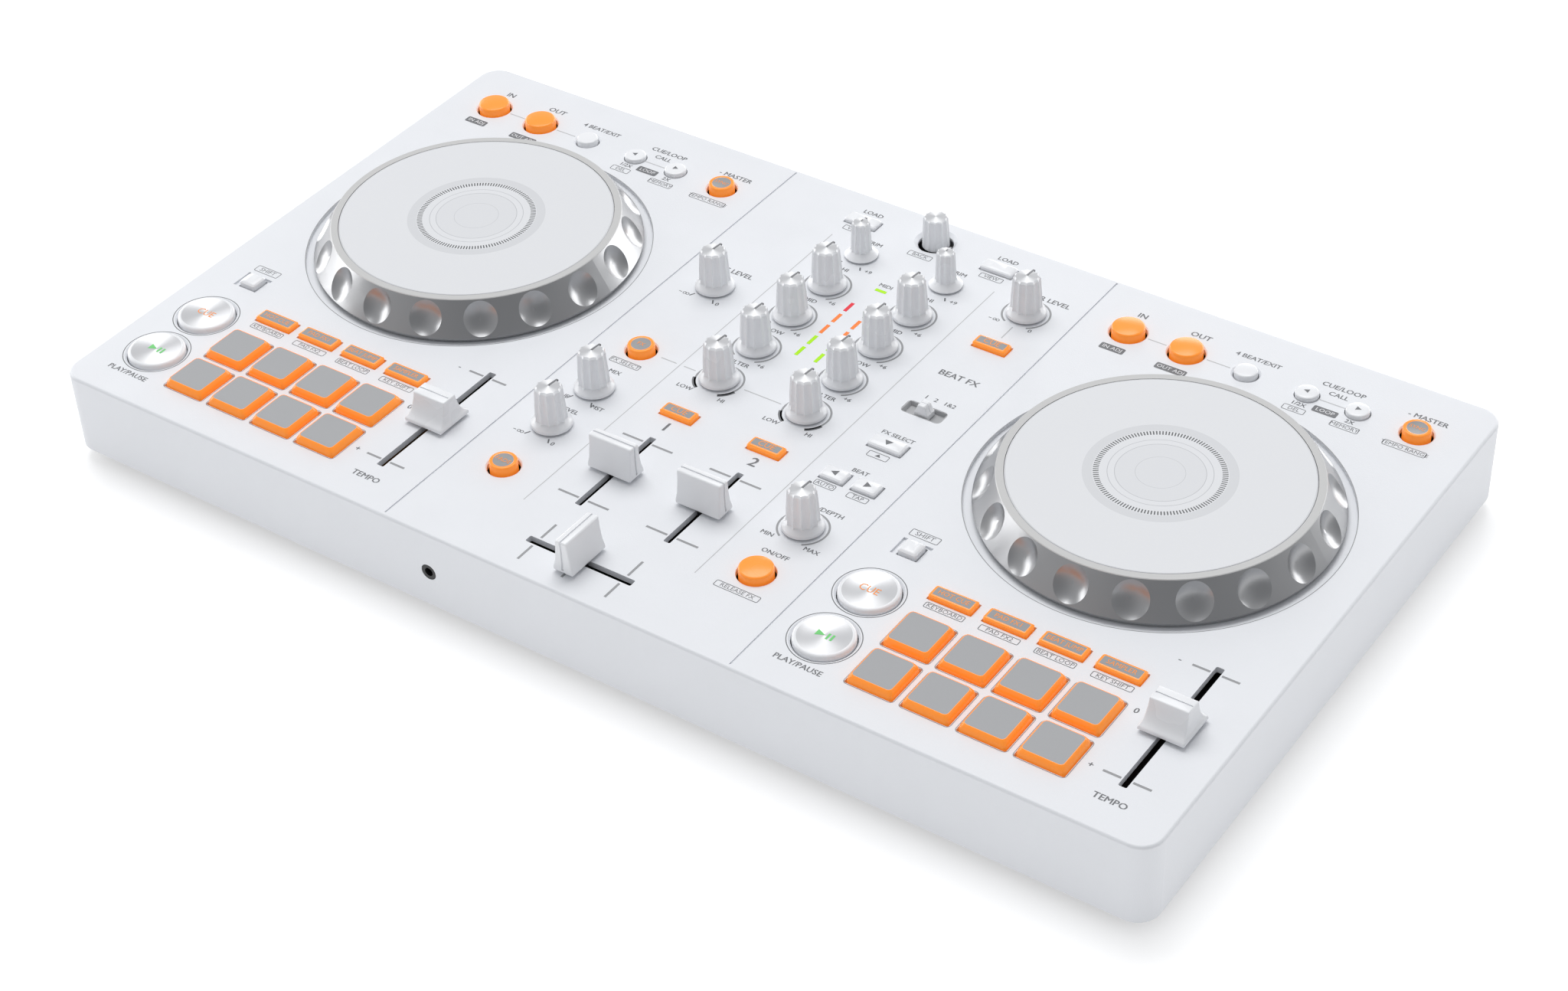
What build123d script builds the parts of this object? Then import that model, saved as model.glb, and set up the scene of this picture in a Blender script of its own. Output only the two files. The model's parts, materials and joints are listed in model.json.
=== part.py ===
"""Two-deck DJ controller: two jog wheels, two pad decks and a two-channel mixer in one flat case.

Millimetres. The origin is on the floor under the middle of the unit, +X to the player's right,
+Y to the back, +Z up. All heights named *_H are heights above the top plate's surface.
"""
import os
from collections import namedtuple
from math import asin, atan2, cos, degrees, sin

from build123d import *

os.makedirs("parts", exist_ok=True)

# ---- case -------------------------------------------------------------------------------------
WIDTH = 482.0
CASE_DEPTH = 268.6
REAR_JACKS_OUT = 3.8
CASE_Y = -REAR_JACKS_OUT / 2
CORNER_R = 9.0
TOP_EDGE_R = 1.2
WALL = 2.5
WALL_BOTTOM = 6.3
PLATE_TOP = 40.7
PLATE_T = 2.5
PLATE_BOTTOM = PLATE_TOP - PLATE_T
FRONT_Y = CASE_Y - CASE_DEPTH / 2
REAR_Y = CASE_Y + CASE_DEPTH / 2
TRAY_BOTTOM = 3.0
TRAY_T = 2.0
TRAY_TOP = 9.3
GROOVE_X = 76.8
GROOVE_W = 0.8
GROOVE_DEPTH = 0.5

# ---- inside the case --------------------------------------------------------------------------
BOARD_BOTTOM = 26.0
BOARD_T = 1.6
BOARD_TOP = BOARD_BOTTOM + BOARD_T
JACK_BOARD_BOTTOM = 11.0
JACK_BOARD_TOP = JACK_BOARD_BOTTOM + BOARD_T
BOSS_R = 4.0
SCREW_R = 1.3
SCREW_POINTS = [(x, y) for x in (-232.5, -79.0, 79.0, 232.5) for y in (-126.0, 122.0)]
SCREW_POINTS += [(-79.0, 0.0), (79.0, 0.0)]
FOOT_POINTS = [(x, y) for x in (-205.0, 0.0, 205.0) for y in (-105.0, 100.0)]
FOOT_R = 9.0
FOOT_RECESS = 0.8

# ---- keys -------------------------------------------------------------------------------------
KEY_GAP = 0.4
LIP = 1.0
LIP_LOW = 36.4
LIP_HIGH = 37.9
STEM_R = 2.0
STEM_BOTTOM = 32.4
SWITCH_SIZE = 6.0
SWITCH_BODY_H = 2.7
SWITCH_PLUNGER_H = 3.5
SHIFT_DISH_W = 12.4
SHIFT_DISH_D = 9.6
SHIFT_DISH_DEPTH = 0.9

# ---- decks ------------------------------------------------------------------------------------
DECK_X = 157.2
JOG_Y = 19.25
JOG_TOP_H = 13.7
JOG_TOP_R = 59.0
JOG_PLATE_R = 55.8
JOG_SKIRT_R = 67.2
JOG_SKIRT_H = 0.8
JOG_DISH_R = 70.7
JOG_DISH_DEPTH = 1.6
JOG_HUB_R = 9.0
SPINDLE_R = 4.0
SHAFT_GAP = 0.05
DIMPLES = 18
DIMPLE_R = 7.1
DIMPLE_BALL_R = 12.0
DIMPLE_AT_R = 63.1
DIMPLE_AT_H = 7.1
TEMPO_DX = 60.7
TEMPO_Y = -80.8

# ---- knobs and faders -------------------------------------------------------------------------
KNOB_H = 18.5
POT_SHAFT_R = 3.0
POT_HOLE_R = 3.7
CHANNEL_X = 20.0
CHANNEL_FADER_Y = -70.3
CROSSFADER_Y = -118.1
BROWSE_Y = 118.1

RoundKey = namedtuple("RoundKey", "x y radius height edge crown recess_r")
BlockKey = namedtuple("BlockKey", "x y width depth height edge")
Slot = namedtuple("Slot", "x y length width along_x")
Knob = namedtuple("Knob", "name x y size")

CENTRED_UP = (Align.CENTER, Align.CENTER, Align.MIN)
CENTRED_DOWN = (Align.CENTER, Align.CENTER, Align.MAX)

LOOP_ROW_Y = 104.4
PAD_XS = [(i - 1.5) * 22.18 for i in range(4)]
DECK_KEYS = {
    "loop_keys": [
        RoundKey(-60.65, LOOP_ROW_Y, 7.1, 3.0, 0.8, 0.6, 8.0),
        RoundKey(-35.25, LOOP_ROW_Y, 7.1, 3.0, 0.8, 0.6, 8.0),
        RoundKey(-9.75, LOOP_ROW_Y, 4.6, 2.0, 0.9, 0.3, 5.8),
        RoundKey(15.85, LOOP_ROW_Y, 4.6, 1.8, 0.6, 0.2, 0.0),
        RoundKey(36.75, LOOP_ROW_Y, 4.6, 1.8, 0.6, 0.2, 0.0),
    ],
    "sync": [RoundKey(60.65, LOOP_ROW_Y, 6.0, 3.0, 0.6, 0.0, 6.9)],
    "shift": [BlockKey(-60.65, -50.7, 7.8, 7.5, 1.8, 0.6)],
    "cue": [RoundKey(-60.7, -77.8, 11.4, 1.6, 1.2, 0.0, 12.6)],
    "play": [RoundKey(-60.7, -106.0, 11.4, 1.6, 1.2, 0.0, 12.6)],
    "mode_keys": [BlockKey(dx, -66.3, 17.5, 6.5, 1.8, 0.5) for dx in PAD_XS],
    "pads": [BlockKey(dx, y, 18.6, 18.6, 3.0, 1.3) for y in (-88.85, -111.2) for dx in PAD_XS],
}
MIXER_KEYS = {
    "smart_effect": [RoundKey(-57.1, -4.7, 6.0, 3.0, 0.6, 0.0, 6.9)],
    "smart_fader": [RoundKey(-57.0, -90.1, 6.0, 3.0, 0.6, 0.0, 6.9)],
    "load_1": [BlockKey(-32.4, 113.9, 14.5, 6.3, 1.8, 0.5)],
    "load_2": [BlockKey(32.4, 113.9, 14.5, 6.3, 1.8, 0.5)],
    "channel_cue_1": [BlockKey(-CHANNEL_X, -30.6, 14.5, 6.2, 2.0, 0.6)],
    "channel_cue_2": [BlockKey(CHANNEL_X, -30.6, 14.5, 6.2, 2.0, 0.6)],
    "master_cue": [BlockKey(57.0, 68.2, 14.5, 6.2, 2.0, 0.6)],
    "fx_keys": [
        BlockKey(57.0, -5.0, 14.5, 7.0, 1.8, 0.6),
        BlockKey(50.3, -30.1, 10.3, 7.0, 1.8, 0.6),
        BlockKey(64.2, -30.1, 10.3, 7.0, 1.8, 0.6),
    ],
    "fx_on": [RoundKey(57.0, -90.2, 7.0, 3.0, 0.8, 0.6, 7.6)],
}
BIG = "big"
SMALL = "small"
KNOBS = [Knob(f"trim_{n}", x, 93.8, SMALL) for n, x in ((1, -CHANNEL_X), (2, CHANNEL_X))]
for row, row_y in (("hi", 69.15), ("mid", 44.6), ("low", 20.0), ("filter", -4.6)):
    KNOBS += [Knob(f"{row}_{n}", x, row_y, BIG) for n, x in ((1, -CHANNEL_X), (2, CHANNEL_X))]
KNOBS += [
    Knob("mic_level", -57.2, 44.6, BIG),
    Knob("headphones_mix", -57.2, -34.5, BIG),
    Knob("headphones_level", -57.2, -60.8, BIG),
    Knob("master_level", 57.0, 93.8, BIG),
    Knob("effect_depth", 57.0, -60.8, BIG),
]
SELECT_X = 57.0
SELECT_Y = 19.75
SELECT_W = 17.6
SELECT_D = 7.7
METER_YS = [61.3, 52.7, 44.1, 35.7, 27.2]
LENSES = [(x, y, 1.5, 6.2) for x in (-4.5, 4.5) for y in METER_YS] + [(0.2, 77.0, 5.0, 1.6)]

# ---- sockets ----------------------------------------------------------------------------------
PHONES_X = -57.3
PHONES_Z = 22.3
PHONES_BORE_R = 1.8
MIC_X = -95.0
MIC_Z = 19.2
MIC_BORE_R = 3.2
RCA_XS = (14.0, 32.0)
RCA_Z = 19.2
RCA_BARREL_R = 4.15
RCA_FACE_Y = REAR_Y - 4.4
USB_X = 54.0
USB_Z = 15.2
LOCK_X = 205.0
LOCK_Z = 21.0


def save(piece, name):
    """Label a finished piece and write it as its own file."""
    piece.label = name
    export_step(piece, f"parts/{name}.step")


def at_deck(keys, deck_x):
    """The same keys, moved from deck coordinates to the unit's frame."""
    return [key._replace(x=key.x + deck_x) for key in keys]


def section_plane(x, y):
    """A vertical plane through (x, y) for profiles drawn as (radius, height)."""
    return Plane((x, y, 0), x_dir=(1, 0, 0), z_dir=(0, -1, 0))


def turn_profile(points, x, y):
    """Revolve a closed (radius, height) outline about the vertical axis at (x, y)."""
    with BuildSketch(section_plane(x, y)) as section:
        with BuildLine():
            Polyline(*points, close=True)
        make_face()
    revolve(section.sketch, axis=Axis((x, y, 0), (0, 0, 1)))


def round_key(key):
    """Key cap turned about its axis: stem, lip under the plate, wall, shoulder and crown."""
    shoulder = PLATE_TOP + key.height - key.crown
    with BuildSketch(section_plane(key.x, key.y)) as section:
        with BuildLine():
            Polyline(
                (0, STEM_BOTTOM), (STEM_R, STEM_BOTTOM), (STEM_R, LIP_LOW), (key.radius + LIP, LIP_LOW),
                (key.radius + LIP, LIP_HIGH), (key.radius, LIP_HIGH), (key.radius, shoulder - key.edge),
            )
            bulge = 0.293 * key.edge
            ThreePointArc(
                (key.radius, shoulder - key.edge),
                (key.radius - bulge, shoulder - bulge),
                (key.radius - key.edge, shoulder),
            )
            flat_r = key.radius - key.edge
            if key.crown:
                ball_r = (flat_r**2 + key.crown**2) / (2 * key.crown)
                half = asin(flat_r / ball_r) / 2
                mid = (ball_r * sin(half), shoulder + key.crown - ball_r * (1 - cos(half)))
                ThreePointArc((flat_r, shoulder), mid, (0, shoulder + key.crown))
            else:
                Line((flat_r, shoulder), (0, shoulder))
            Line((0, shoulder + key.crown), (0, STEM_BOTTOM))
        make_face()
    revolve(section.sketch, axis=Axis((key.x, key.y, 0), (0, 0, 1)))


def block_key(key):
    """Rectangular key cap: stem, lip under the plate, wall and chamfered top."""
    with Locations((key.x, key.y, STEM_BOTTOM)):
        Cylinder(STEM_R, LIP_LOW - STEM_BOTTOM + 0.1, align=CENTRED_UP)
    with BuildSketch(Plane.XY.offset(LIP_LOW)) as lip:
        with Locations((key.x, key.y)):
            RectangleRounded(key.width + 2 * LIP, key.depth + 2 * LIP, 1.0)
    extrude(lip.sketch, amount=LIP_HIGH - LIP_LOW)
    chamfer_low = PLATE_TOP + key.height - key.edge
    for low, high, slope in ((LIP_HIGH, chamfer_low, 0), (chamfer_low, chamfer_low + key.edge, 40)):
        with BuildSketch(Plane.XY.offset(low)) as cap:
            with Locations((key.x, key.y)):
                RectangleRounded(key.width, key.depth, 1.0)
        extrude(cap.sketch, amount=high - low, taper=slope)


def link_web(keys, depth):
    """The moulded web under the plate that joins the caps of one key strip."""
    low_x = min(key.x for key in keys)
    high_x = max(key.x for key in keys)
    low_y = min(key.y for key in keys)
    high_y = max(key.y for key in keys)
    with Locations(((low_x + high_x) / 2, (low_y + high_y) / 2, LIP_LOW)):
        Box(high_x - low_x, high_y - low_y + depth, LIP_HIGH - LIP_LOW, align=CENTRED_UP)


def cut_key_opening(key):
    """The opening in the top plate for one key, with its bevelled edge."""
    with Locations((key.x, key.y, PLATE_BOTTOM)):
        if isinstance(key, RoundKey):
            Cylinder(key.radius + KEY_GAP, PLATE_T, align=CENTRED_UP, mode=Mode.SUBTRACT)
        else:
            Box(key.width + 2 * KEY_GAP, key.depth + 2 * KEY_GAP, PLATE_T, align=CENTRED_UP, mode=Mode.SUBTRACT)
    with Locations((key.x, key.y, PLATE_TOP)):
        if isinstance(key, RoundKey) and key.recess_r > key.radius + KEY_GAP:
            bevel = key.recess_r - key.radius - KEY_GAP
            Cone(key.radius + KEY_GAP, key.recess_r, bevel, align=CENTRED_DOWN, mode=Mode.SUBTRACT)


def cut_slot(slot):
    """A round-ended fader slot through the top plate."""
    with BuildSketch(Plane.XY.offset(PLATE_BOTTOM)) as outline:
        with Locations(Location((slot.x, slot.y, 0), (0, 0, 0 if slot.along_x else 90))):
            RectangleRounded(slot.length, slot.width, 0.6)
    extrude(outline.sketch, amount=PLATE_T, mode=Mode.SUBTRACT)


ALL_KEYS = [key for keys in MIXER_KEYS.values() for key in keys]
SLOTS = [
    Slot(-CHANNEL_X, CHANNEL_FADER_Y, 46.4, 2.9, False),
    Slot(CHANNEL_X, CHANNEL_FADER_Y, 46.4, 2.9, False),
    Slot(0, CROSSFADER_Y, 47.0, 3.3, True),
]
for deck_x in (-DECK_X, DECK_X):
    ALL_KEYS += [key for keys in DECK_KEYS.values() for key in at_deck(keys, deck_x)]
    SLOTS.append(Slot(deck_x + TEMPO_DX, TEMPO_Y, 67.2, 3.2, False))

# ---- top cover: one moulded shell with its printed top plate -----------------------------------
with BuildPart() as top_cover:
    with BuildSketch(Plane.XY.offset(WALL_BOTTOM)):
        with Locations((0, CASE_Y)):
            RectangleRounded(WIDTH, CASE_DEPTH, CORNER_R)
    extrude(amount=PLATE_TOP - WALL_BOTTOM)
    fillet(top_cover.edges().group_by(Axis.Z)[-1], TOP_EDGE_R)
    with BuildSketch(Plane.XY.offset(WALL_BOTTOM)):
        with Locations((0, CASE_Y)):
            RectangleRounded(WIDTH - 2 * WALL, CASE_DEPTH - 2 * WALL, CORNER_R - WALL)
    extrude(amount=PLATE_BOTTOM - WALL_BOTTOM, mode=Mode.SUBTRACT)
    for x, y in SCREW_POINTS:
        with Locations((x, y, TRAY_TOP + 2.7)):
            Cylinder(BOSS_R, PLATE_BOTTOM - TRAY_TOP - 2.6, align=CENTRED_UP)
            Cylinder(SCREW_R + 0.05, 18, align=CENTRED_UP, mode=Mode.SUBTRACT)
    for x in (-GROOVE_X, GROOVE_X):
        with Locations((x, CASE_Y, PLATE_TOP)):
            Box(GROOVE_W, 264.9, GROOVE_DEPTH, align=CENTRED_DOWN, mode=Mode.SUBTRACT)
    for deck_x in (-DECK_X, DECK_X):
        with Locations((deck_x, JOG_Y, PLATE_TOP)):
            Cylinder(JOG_DISH_R, JOG_DISH_DEPTH, align=CENTRED_DOWN, mode=Mode.SUBTRACT)
            Cylinder(JOG_HUB_R + 1.5, PLATE_T, align=CENTRED_DOWN, mode=Mode.SUBTRACT)
            with PolarLocations(16.5, 3, start_angle=90):
                with Locations((0, 0, -PLATE_T + 0.1)):
                    Cylinder(3.0, PLATE_BOTTOM - 28.0 + 0.1, align=CENTRED_DOWN)
    for key in ALL_KEYS:
        cut_key_opening(key)
    for slot in SLOTS:
        cut_slot(slot)
    for deck_x in (-DECK_X, DECK_X):
        shift_key = DECK_KEYS["shift"][0]
        with Locations((deck_x + shift_key.x, shift_key.y, PLATE_TOP)):
            Box(SHIFT_DISH_W, SHIFT_DISH_D, SHIFT_DISH_DEPTH, align=CENTRED_DOWN, mode=Mode.SUBTRACT)
    for knob in KNOBS:
        with Locations((knob.x, knob.y, PLATE_BOTTOM)):
            Cylinder(POT_HOLE_R, PLATE_T, align=CENTRED_UP, mode=Mode.SUBTRACT)
    with Locations((0, BROWSE_Y, PLATE_BOTTOM)):
        Cylinder(7.3, PLATE_T, align=CENTRED_UP, mode=Mode.SUBTRACT)
    with Locations((0, BROWSE_Y, PLATE_TOP)):
        Cone(7.3, 8.7, 1.4, align=CENTRED_DOWN, mode=Mode.SUBTRACT)
    with BuildSketch(Plane.XY.offset(PLATE_BOTTOM)):
        with Locations((SELECT_X, SELECT_Y)):
            RectangleRounded(SELECT_W, SELECT_D, 2.0)
    extrude(amount=PLATE_T, mode=Mode.SUBTRACT)
    for x, y, width, depth in LENSES:
        with Locations((x, y, PLATE_BOTTOM)):
            Box(width + 0.1, depth + 0.1, PLATE_T, align=CENTRED_UP, mode=Mode.SUBTRACT)
    # rear wall: microphone, line outputs, data socket and lock slot; front wall: headphones
    with Locations(Location((MIC_X, REAR_Y - WALL / 2, MIC_Z), (90, 0, 0))):
        Cylinder(5.2, WALL + 1, mode=Mode.SUBTRACT)
    for x in RCA_XS:
        with Locations(Location((x, REAR_Y - WALL / 2, RCA_Z), (90, 0, 0))):
            Cylinder(6.8, WALL + 1, mode=Mode.SUBTRACT)
    with Locations((USB_X, REAR_Y - WALL / 2, USB_Z)):
        Box(9.6, WALL + 1, 3.9, mode=Mode.SUBTRACT)
    with Locations((LOCK_X, REAR_Y - WALL / 2, LOCK_Z)):
        Box(7.0, WALL + 1, 3.0, mode=Mode.SUBTRACT)
    with Locations(Location((PHONES_X, FRONT_Y + WALL / 2, PHONES_Z), (90, 0, 0))):
        Cylinder(3.35, WALL + 1, mode=Mode.SUBTRACT)
save(top_cover.part, "top_cover")

# ---- bottom cover: shallow tray with screw columns, foot recesses and board posts ---------------
BOARD_POSTS = [(x, y) for x in (-66.0, 66.0) for y in (-100.0, 12.0, 108.0)]
for deck_x in (-DECK_X, DECK_X):
    BOARD_POSTS += [(deck_x + dx, y) for dx in (-50.0, 46.0) for y in (-124.0, -46.0, 96.0, 122.0)]
with BuildPart() as bottom_cover:
    for low, high, inset in ((TRAY_BOTTOM, WALL_BOTTOM, 4.0), (WALL_BOTTOM, TRAY_TOP, WALL + 0.2)):
        with BuildSketch(Plane.XY.offset(low)):
            with Locations((0, CASE_Y)):
                RectangleRounded(WIDTH - 2 * inset, CASE_DEPTH - 2 * inset, CORNER_R - WALL)
        extrude(amount=high - low)
    with BuildSketch(Plane.XY.offset(TRAY_BOTTOM + TRAY_T)):
        with Locations((0, CASE_Y)):
            RectangleRounded(WIDTH - 12, CASE_DEPTH - 12, CORNER_R - 2 * WALL)
    extrude(amount=TRAY_TOP - TRAY_BOTTOM, mode=Mode.SUBTRACT)
    for x, y in SCREW_POINTS:
        with Locations((x, y, TRAY_BOTTOM + TRAY_T - 0.1)):
            Cylinder(BOSS_R + 0.6, 7.0, align=CENTRED_UP)
        with Locations((x, y, TRAY_BOTTOM)):
            Cylinder(SCREW_R + 0.3, 12.0, align=CENTRED_UP, mode=Mode.SUBTRACT)
            Cylinder(3.6, 3.0, align=CENTRED_UP, mode=Mode.SUBTRACT)
    for x, y in FOOT_POINTS:
        with Locations((x, y, TRAY_BOTTOM)):
            Cylinder(FOOT_R + 0.2, FOOT_RECESS, align=CENTRED_UP, mode=Mode.SUBTRACT)
    for x, y in BOARD_POSTS:
        with Locations((x, y, TRAY_BOTTOM + TRAY_T - 0.1)):
            Cylinder(2.6, BOARD_BOTTOM - TRAY_BOTTOM - TRAY_T + 0.1, align=CENTRED_UP)
    for x in (-104.0, -90.0, -12.0, 46.0):
        with Locations((x, 112.0, TRAY_BOTTOM + TRAY_T - 0.1)):
            Cylinder(2.6, JACK_BOARD_BOTTOM - TRAY_BOTTOM - TRAY_T + 0.1, align=CENTRED_UP)
save(bottom_cover.part, "bottom_cover")

with BuildPart() as rubber_feet:
    for x, y in FOOT_POINTS:
        with Locations((x, y, 0)):
            Cone(FOOT_R - 0.8, FOOT_R, 1.0, align=CENTRED_UP)
        with Locations((x, y, 1.0)):
            Cylinder(FOOT_R, TRAY_BOTTOM + FOOT_RECESS - 1.0, align=CENTRED_UP)
save(rubber_feet.part, "rubber_feet")

with BuildPart() as case_screws:
    for x, y in SCREW_POINTS:
        with Locations((x, y, TRAY_BOTTOM + 0.8)):
            Cylinder(3.0, 2.15, align=CENTRED_UP)
            Cylinder(0.9, 1.2, align=CENTRED_UP, mode=Mode.SUBTRACT)
        with Locations((x, y, TRAY_BOTTOM + 2.9)):
            Cylinder(SCREW_R, 20.0, align=CENTRED_UP)
save(case_screws.part, "case_screws")

# ---- circuit boards ----------------------------------------------------------------------------
with BuildPart() as circuit_boards:
    with Locations((0, -1.0, BOARD_BOTTOM)):
        Box(144, 254, BOARD_T, align=CENTRED_UP)
    for deck_x in (-DECK_X, DECK_X):
        for low_y, high_y in ((-129.0, -40.0), (90.0, 127.0)):
            with Locations((deck_x, (low_y + high_y) / 2, BOARD_BOTTOM)):
                Box(138, high_y - low_y, BOARD_T, align=CENTRED_UP)
    for x, y, width, depth in ((-30.0, 6.0, 14.0, 14.0), (34.0, 66.0, 10.0, 8.0), (-36.0, -14.0, 8.0, 6.0)):
        with Locations((x, y, BOARD_BOTTOM + 0.1)):
            Box(width, depth, 1.3, align=CENTRED_DOWN)
    for low_x, high_x in ((-108.0, -86.0), (-16.0, 62.0)):
        with Locations(((low_x + high_x) / 2, 113.5, JACK_BOARD_BOTTOM)):
            Box(high_x - low_x, 29, BOARD_T, align=CENTRED_UP)
    with Locations((-8.0, 119.0, JACK_BOARD_TOP)):
        Box(12, 8, BOARD_BOTTOM - JACK_BOARD_TOP, align=CENTRED_UP)
save(circuit_boards.part, "circuit_boards")

# ---- control bodies: push switches, rotary and slide potentiometers -----------------------------
SLIDE_BODY_TOP = 34.0
BLADE_T = 1.2
BLADE_BOTTOM = 30.6
with BuildPart() as control_bodies:
    for key in ALL_KEYS:
        with Locations((key.x, key.y, BOARD_TOP)):
            Box(SWITCH_SIZE, SWITCH_SIZE, SWITCH_BODY_H, align=CENTRED_UP)
            Cylinder(1.7, SWITCH_PLUNGER_H, align=CENTRED_UP)
    for x, y in [(knob.x, knob.y) for knob in KNOBS] + [(0, BROWSE_Y)]:
        with Locations((x, y, BOARD_TOP)):
            Box(10, 11, 6.4, align=CENTRED_UP)
            Cylinder(POT_SHAFT_R + SHAFT_GAP, 7, align=CENTRED_UP, mode=Mode.SUBTRACT)
    for slot in SLOTS:
        length = slot.length + 12
        size = (length, 9) if slot.along_x else (9, length)
        channel = (slot.length, 2.4) if slot.along_x else (2.4, slot.length)
        with Locations((slot.x, slot.y, BOARD_TOP)):
            Box(*size, SLIDE_BODY_TOP - BOARD_TOP, align=CENTRED_UP)
        with Locations((slot.x, slot.y, BLADE_BOTTOM - 0.6)):
            Box(*channel, 10, align=CENTRED_UP, mode=Mode.SUBTRACT)
    with Locations((SELECT_X, SELECT_Y, BOARD_TOP)):
        Box(22, 7, 5.0, align=CENTRED_UP)
    with Locations((SELECT_X, SELECT_Y, BOARD_TOP + 2.0)):
        Box(13, 2.4, 6.0, align=CENTRED_UP, mode=Mode.SUBTRACT)
save(control_bodies.part, "control_bodies")

# ---- sockets -------------------------------------------------------------------------------------
with BuildPart() as rca_jacks:
    with Locations(((RCA_XS[0] + RCA_XS[1]) / 2, RCA_FACE_Y, JACK_BOARD_TOP)):
        Box(34, 14, 13.2, align=(Align.CENTER, Align.MAX, Align.MIN))
    for x in RCA_XS:
        with Locations(Location((x, RCA_FACE_Y, RCA_Z), (-90, 0, 0))):
            Cylinder(RCA_BARREL_R, REAR_Y + REAR_JACKS_OUT - RCA_FACE_Y, align=CENTRED_UP)
            Cylinder(3.4, 10.0, align=CENTRED_UP, mode=Mode.SUBTRACT)
            Cylinder(1.6, 7.0, align=CENTRED_UP)
save(rca_jacks.part, "rca_jacks")

PHONES_DEPTH = 15.0
MIC_DEPTH = 32.0
with BuildPart() as signal_sockets:
    with Locations((PHONES_X, FRONT_Y + WALL + 0.1, PHONES_Z)):
        Box(9.0, PHONES_DEPTH, 7.3, align=(Align.CENTER, Align.MIN, Align.CENTER))
    with Locations(Location((PHONES_X, FRONT_Y + WALL + 0.2, PHONES_Z), (90, 0, 0))):
        Cylinder(3.25, WALL + 0.1, align=CENTRED_UP)
    with Locations(Location((PHONES_X, FRONT_Y + 0.1, PHONES_Z), (-90, 0, 0))):
        Cylinder(PHONES_BORE_R, PHONES_DEPTH, align=CENTRED_UP, mode=Mode.SUBTRACT)
    with Locations((MIC_X, REAR_Y - WALL - 0.1, JACK_BOARD_TOP)):
        Box(14.0, MIC_DEPTH, 12.8, align=(Align.CENTER, Align.MAX, Align.MIN))
    with Locations(Location((MIC_X, REAR_Y - WALL - 0.2, MIC_Z), (-90, 0, 0))):
        Cylinder(5.1, WALL + 0.2, align=CENTRED_UP)
    with Locations(Location((MIC_X, REAR_Y, MIC_Z), (90, 0, 0))):
        Cylinder(MIC_BORE_R, MIC_DEPTH - 1, align=CENTRED_UP, mode=Mode.SUBTRACT)
    with Locations((USB_X, REAR_Y - 0.6, USB_Z)):
        Box(8.9, 8.0, 3.2, align=(Align.CENTER, Align.MAX, Align.CENTER))
        Box(8.3, 6.2, 2.5, align=(Align.CENTER, Align.MAX, Align.CENTER), mode=Mode.SUBTRACT)
    with Locations((USB_X, REAR_Y - 6.0, USB_Z)):
        Box(6.6, 5.0, 0.7, align=(Align.CENTER, Align.CENTER, Align.CENTER))
    with Locations((USB_X, REAR_Y - 8.6, JACK_BOARD_TOP)):
        Box(8.9, 5.0, 1.4, align=(Align.CENTER, Align.MAX, Align.MIN))
save(signal_sockets.part, "signal_sockets")

with BuildPart() as meter_lenses:
    for x, y, width, depth in LENSES:
        with Locations((x, y, PLATE_BOTTOM - 1.0)):
            Box(width, depth, PLATE_T + 1.05, align=CENTRED_UP)
save(meter_lenses.part, "meter_lenses")

# ---- jog wheels ----------------------------------------------------------------------------------
SPINDLE_TOP = PLATE_TOP + 8.7
HUB_BOTTOM = 30.5
with BuildPart() as jog_spindles:
    for deck_x in (-DECK_X, DECK_X):
        with Locations((deck_x, JOG_Y, BOARD_BOTTOM)):
            Cylinder(20.5, 2.0, align=CENTRED_UP)
            Cylinder(SPINDLE_R + 2.5, 3.0, align=CENTRED_UP)
            Cylinder(SPINDLE_R, SPINDLE_TOP - BOARD_BOTTOM, align=CENTRED_UP)
save(jog_spindles.part, "jog_spindles")

JOG_RING_OUTLINE = [
    (0, PLATE_TOP + 9.2),
    (SPINDLE_R + SHAFT_GAP, PLATE_TOP + 9.2),
    (SPINDLE_R + SHAFT_GAP, HUB_BOTTOM),
    (JOG_HUB_R, HUB_BOTTOM),
    (JOG_HUB_R, PLATE_TOP + 7.5),
    (56.5, PLATE_TOP + 7.5),
    (64.6, PLATE_TOP - 1.1),
    (66.0, PLATE_TOP - 1.1),
    (66.8, PLATE_TOP - 0.5),
    (JOG_SKIRT_R, PLATE_TOP + JOG_SKIRT_H),
    (JOG_TOP_R, PLATE_TOP + JOG_TOP_H - 0.3),
    (JOG_TOP_R - 0.3, PLATE_TOP + JOG_TOP_H),
    (JOG_PLATE_R + 0.15, PLATE_TOP + JOG_TOP_H),
    (JOG_PLATE_R + 0.15, PLATE_TOP + 11.0),
    (0, PLATE_TOP + 11.0),
]
CONE_TILT = degrees(atan2(JOG_SKIRT_R - JOG_TOP_R, JOG_TOP_H - 0.3 - JOG_SKIRT_H))
BALL_OUT = (DIMPLE_BALL_R**2 - DIMPLE_R**2) ** 0.5
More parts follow.
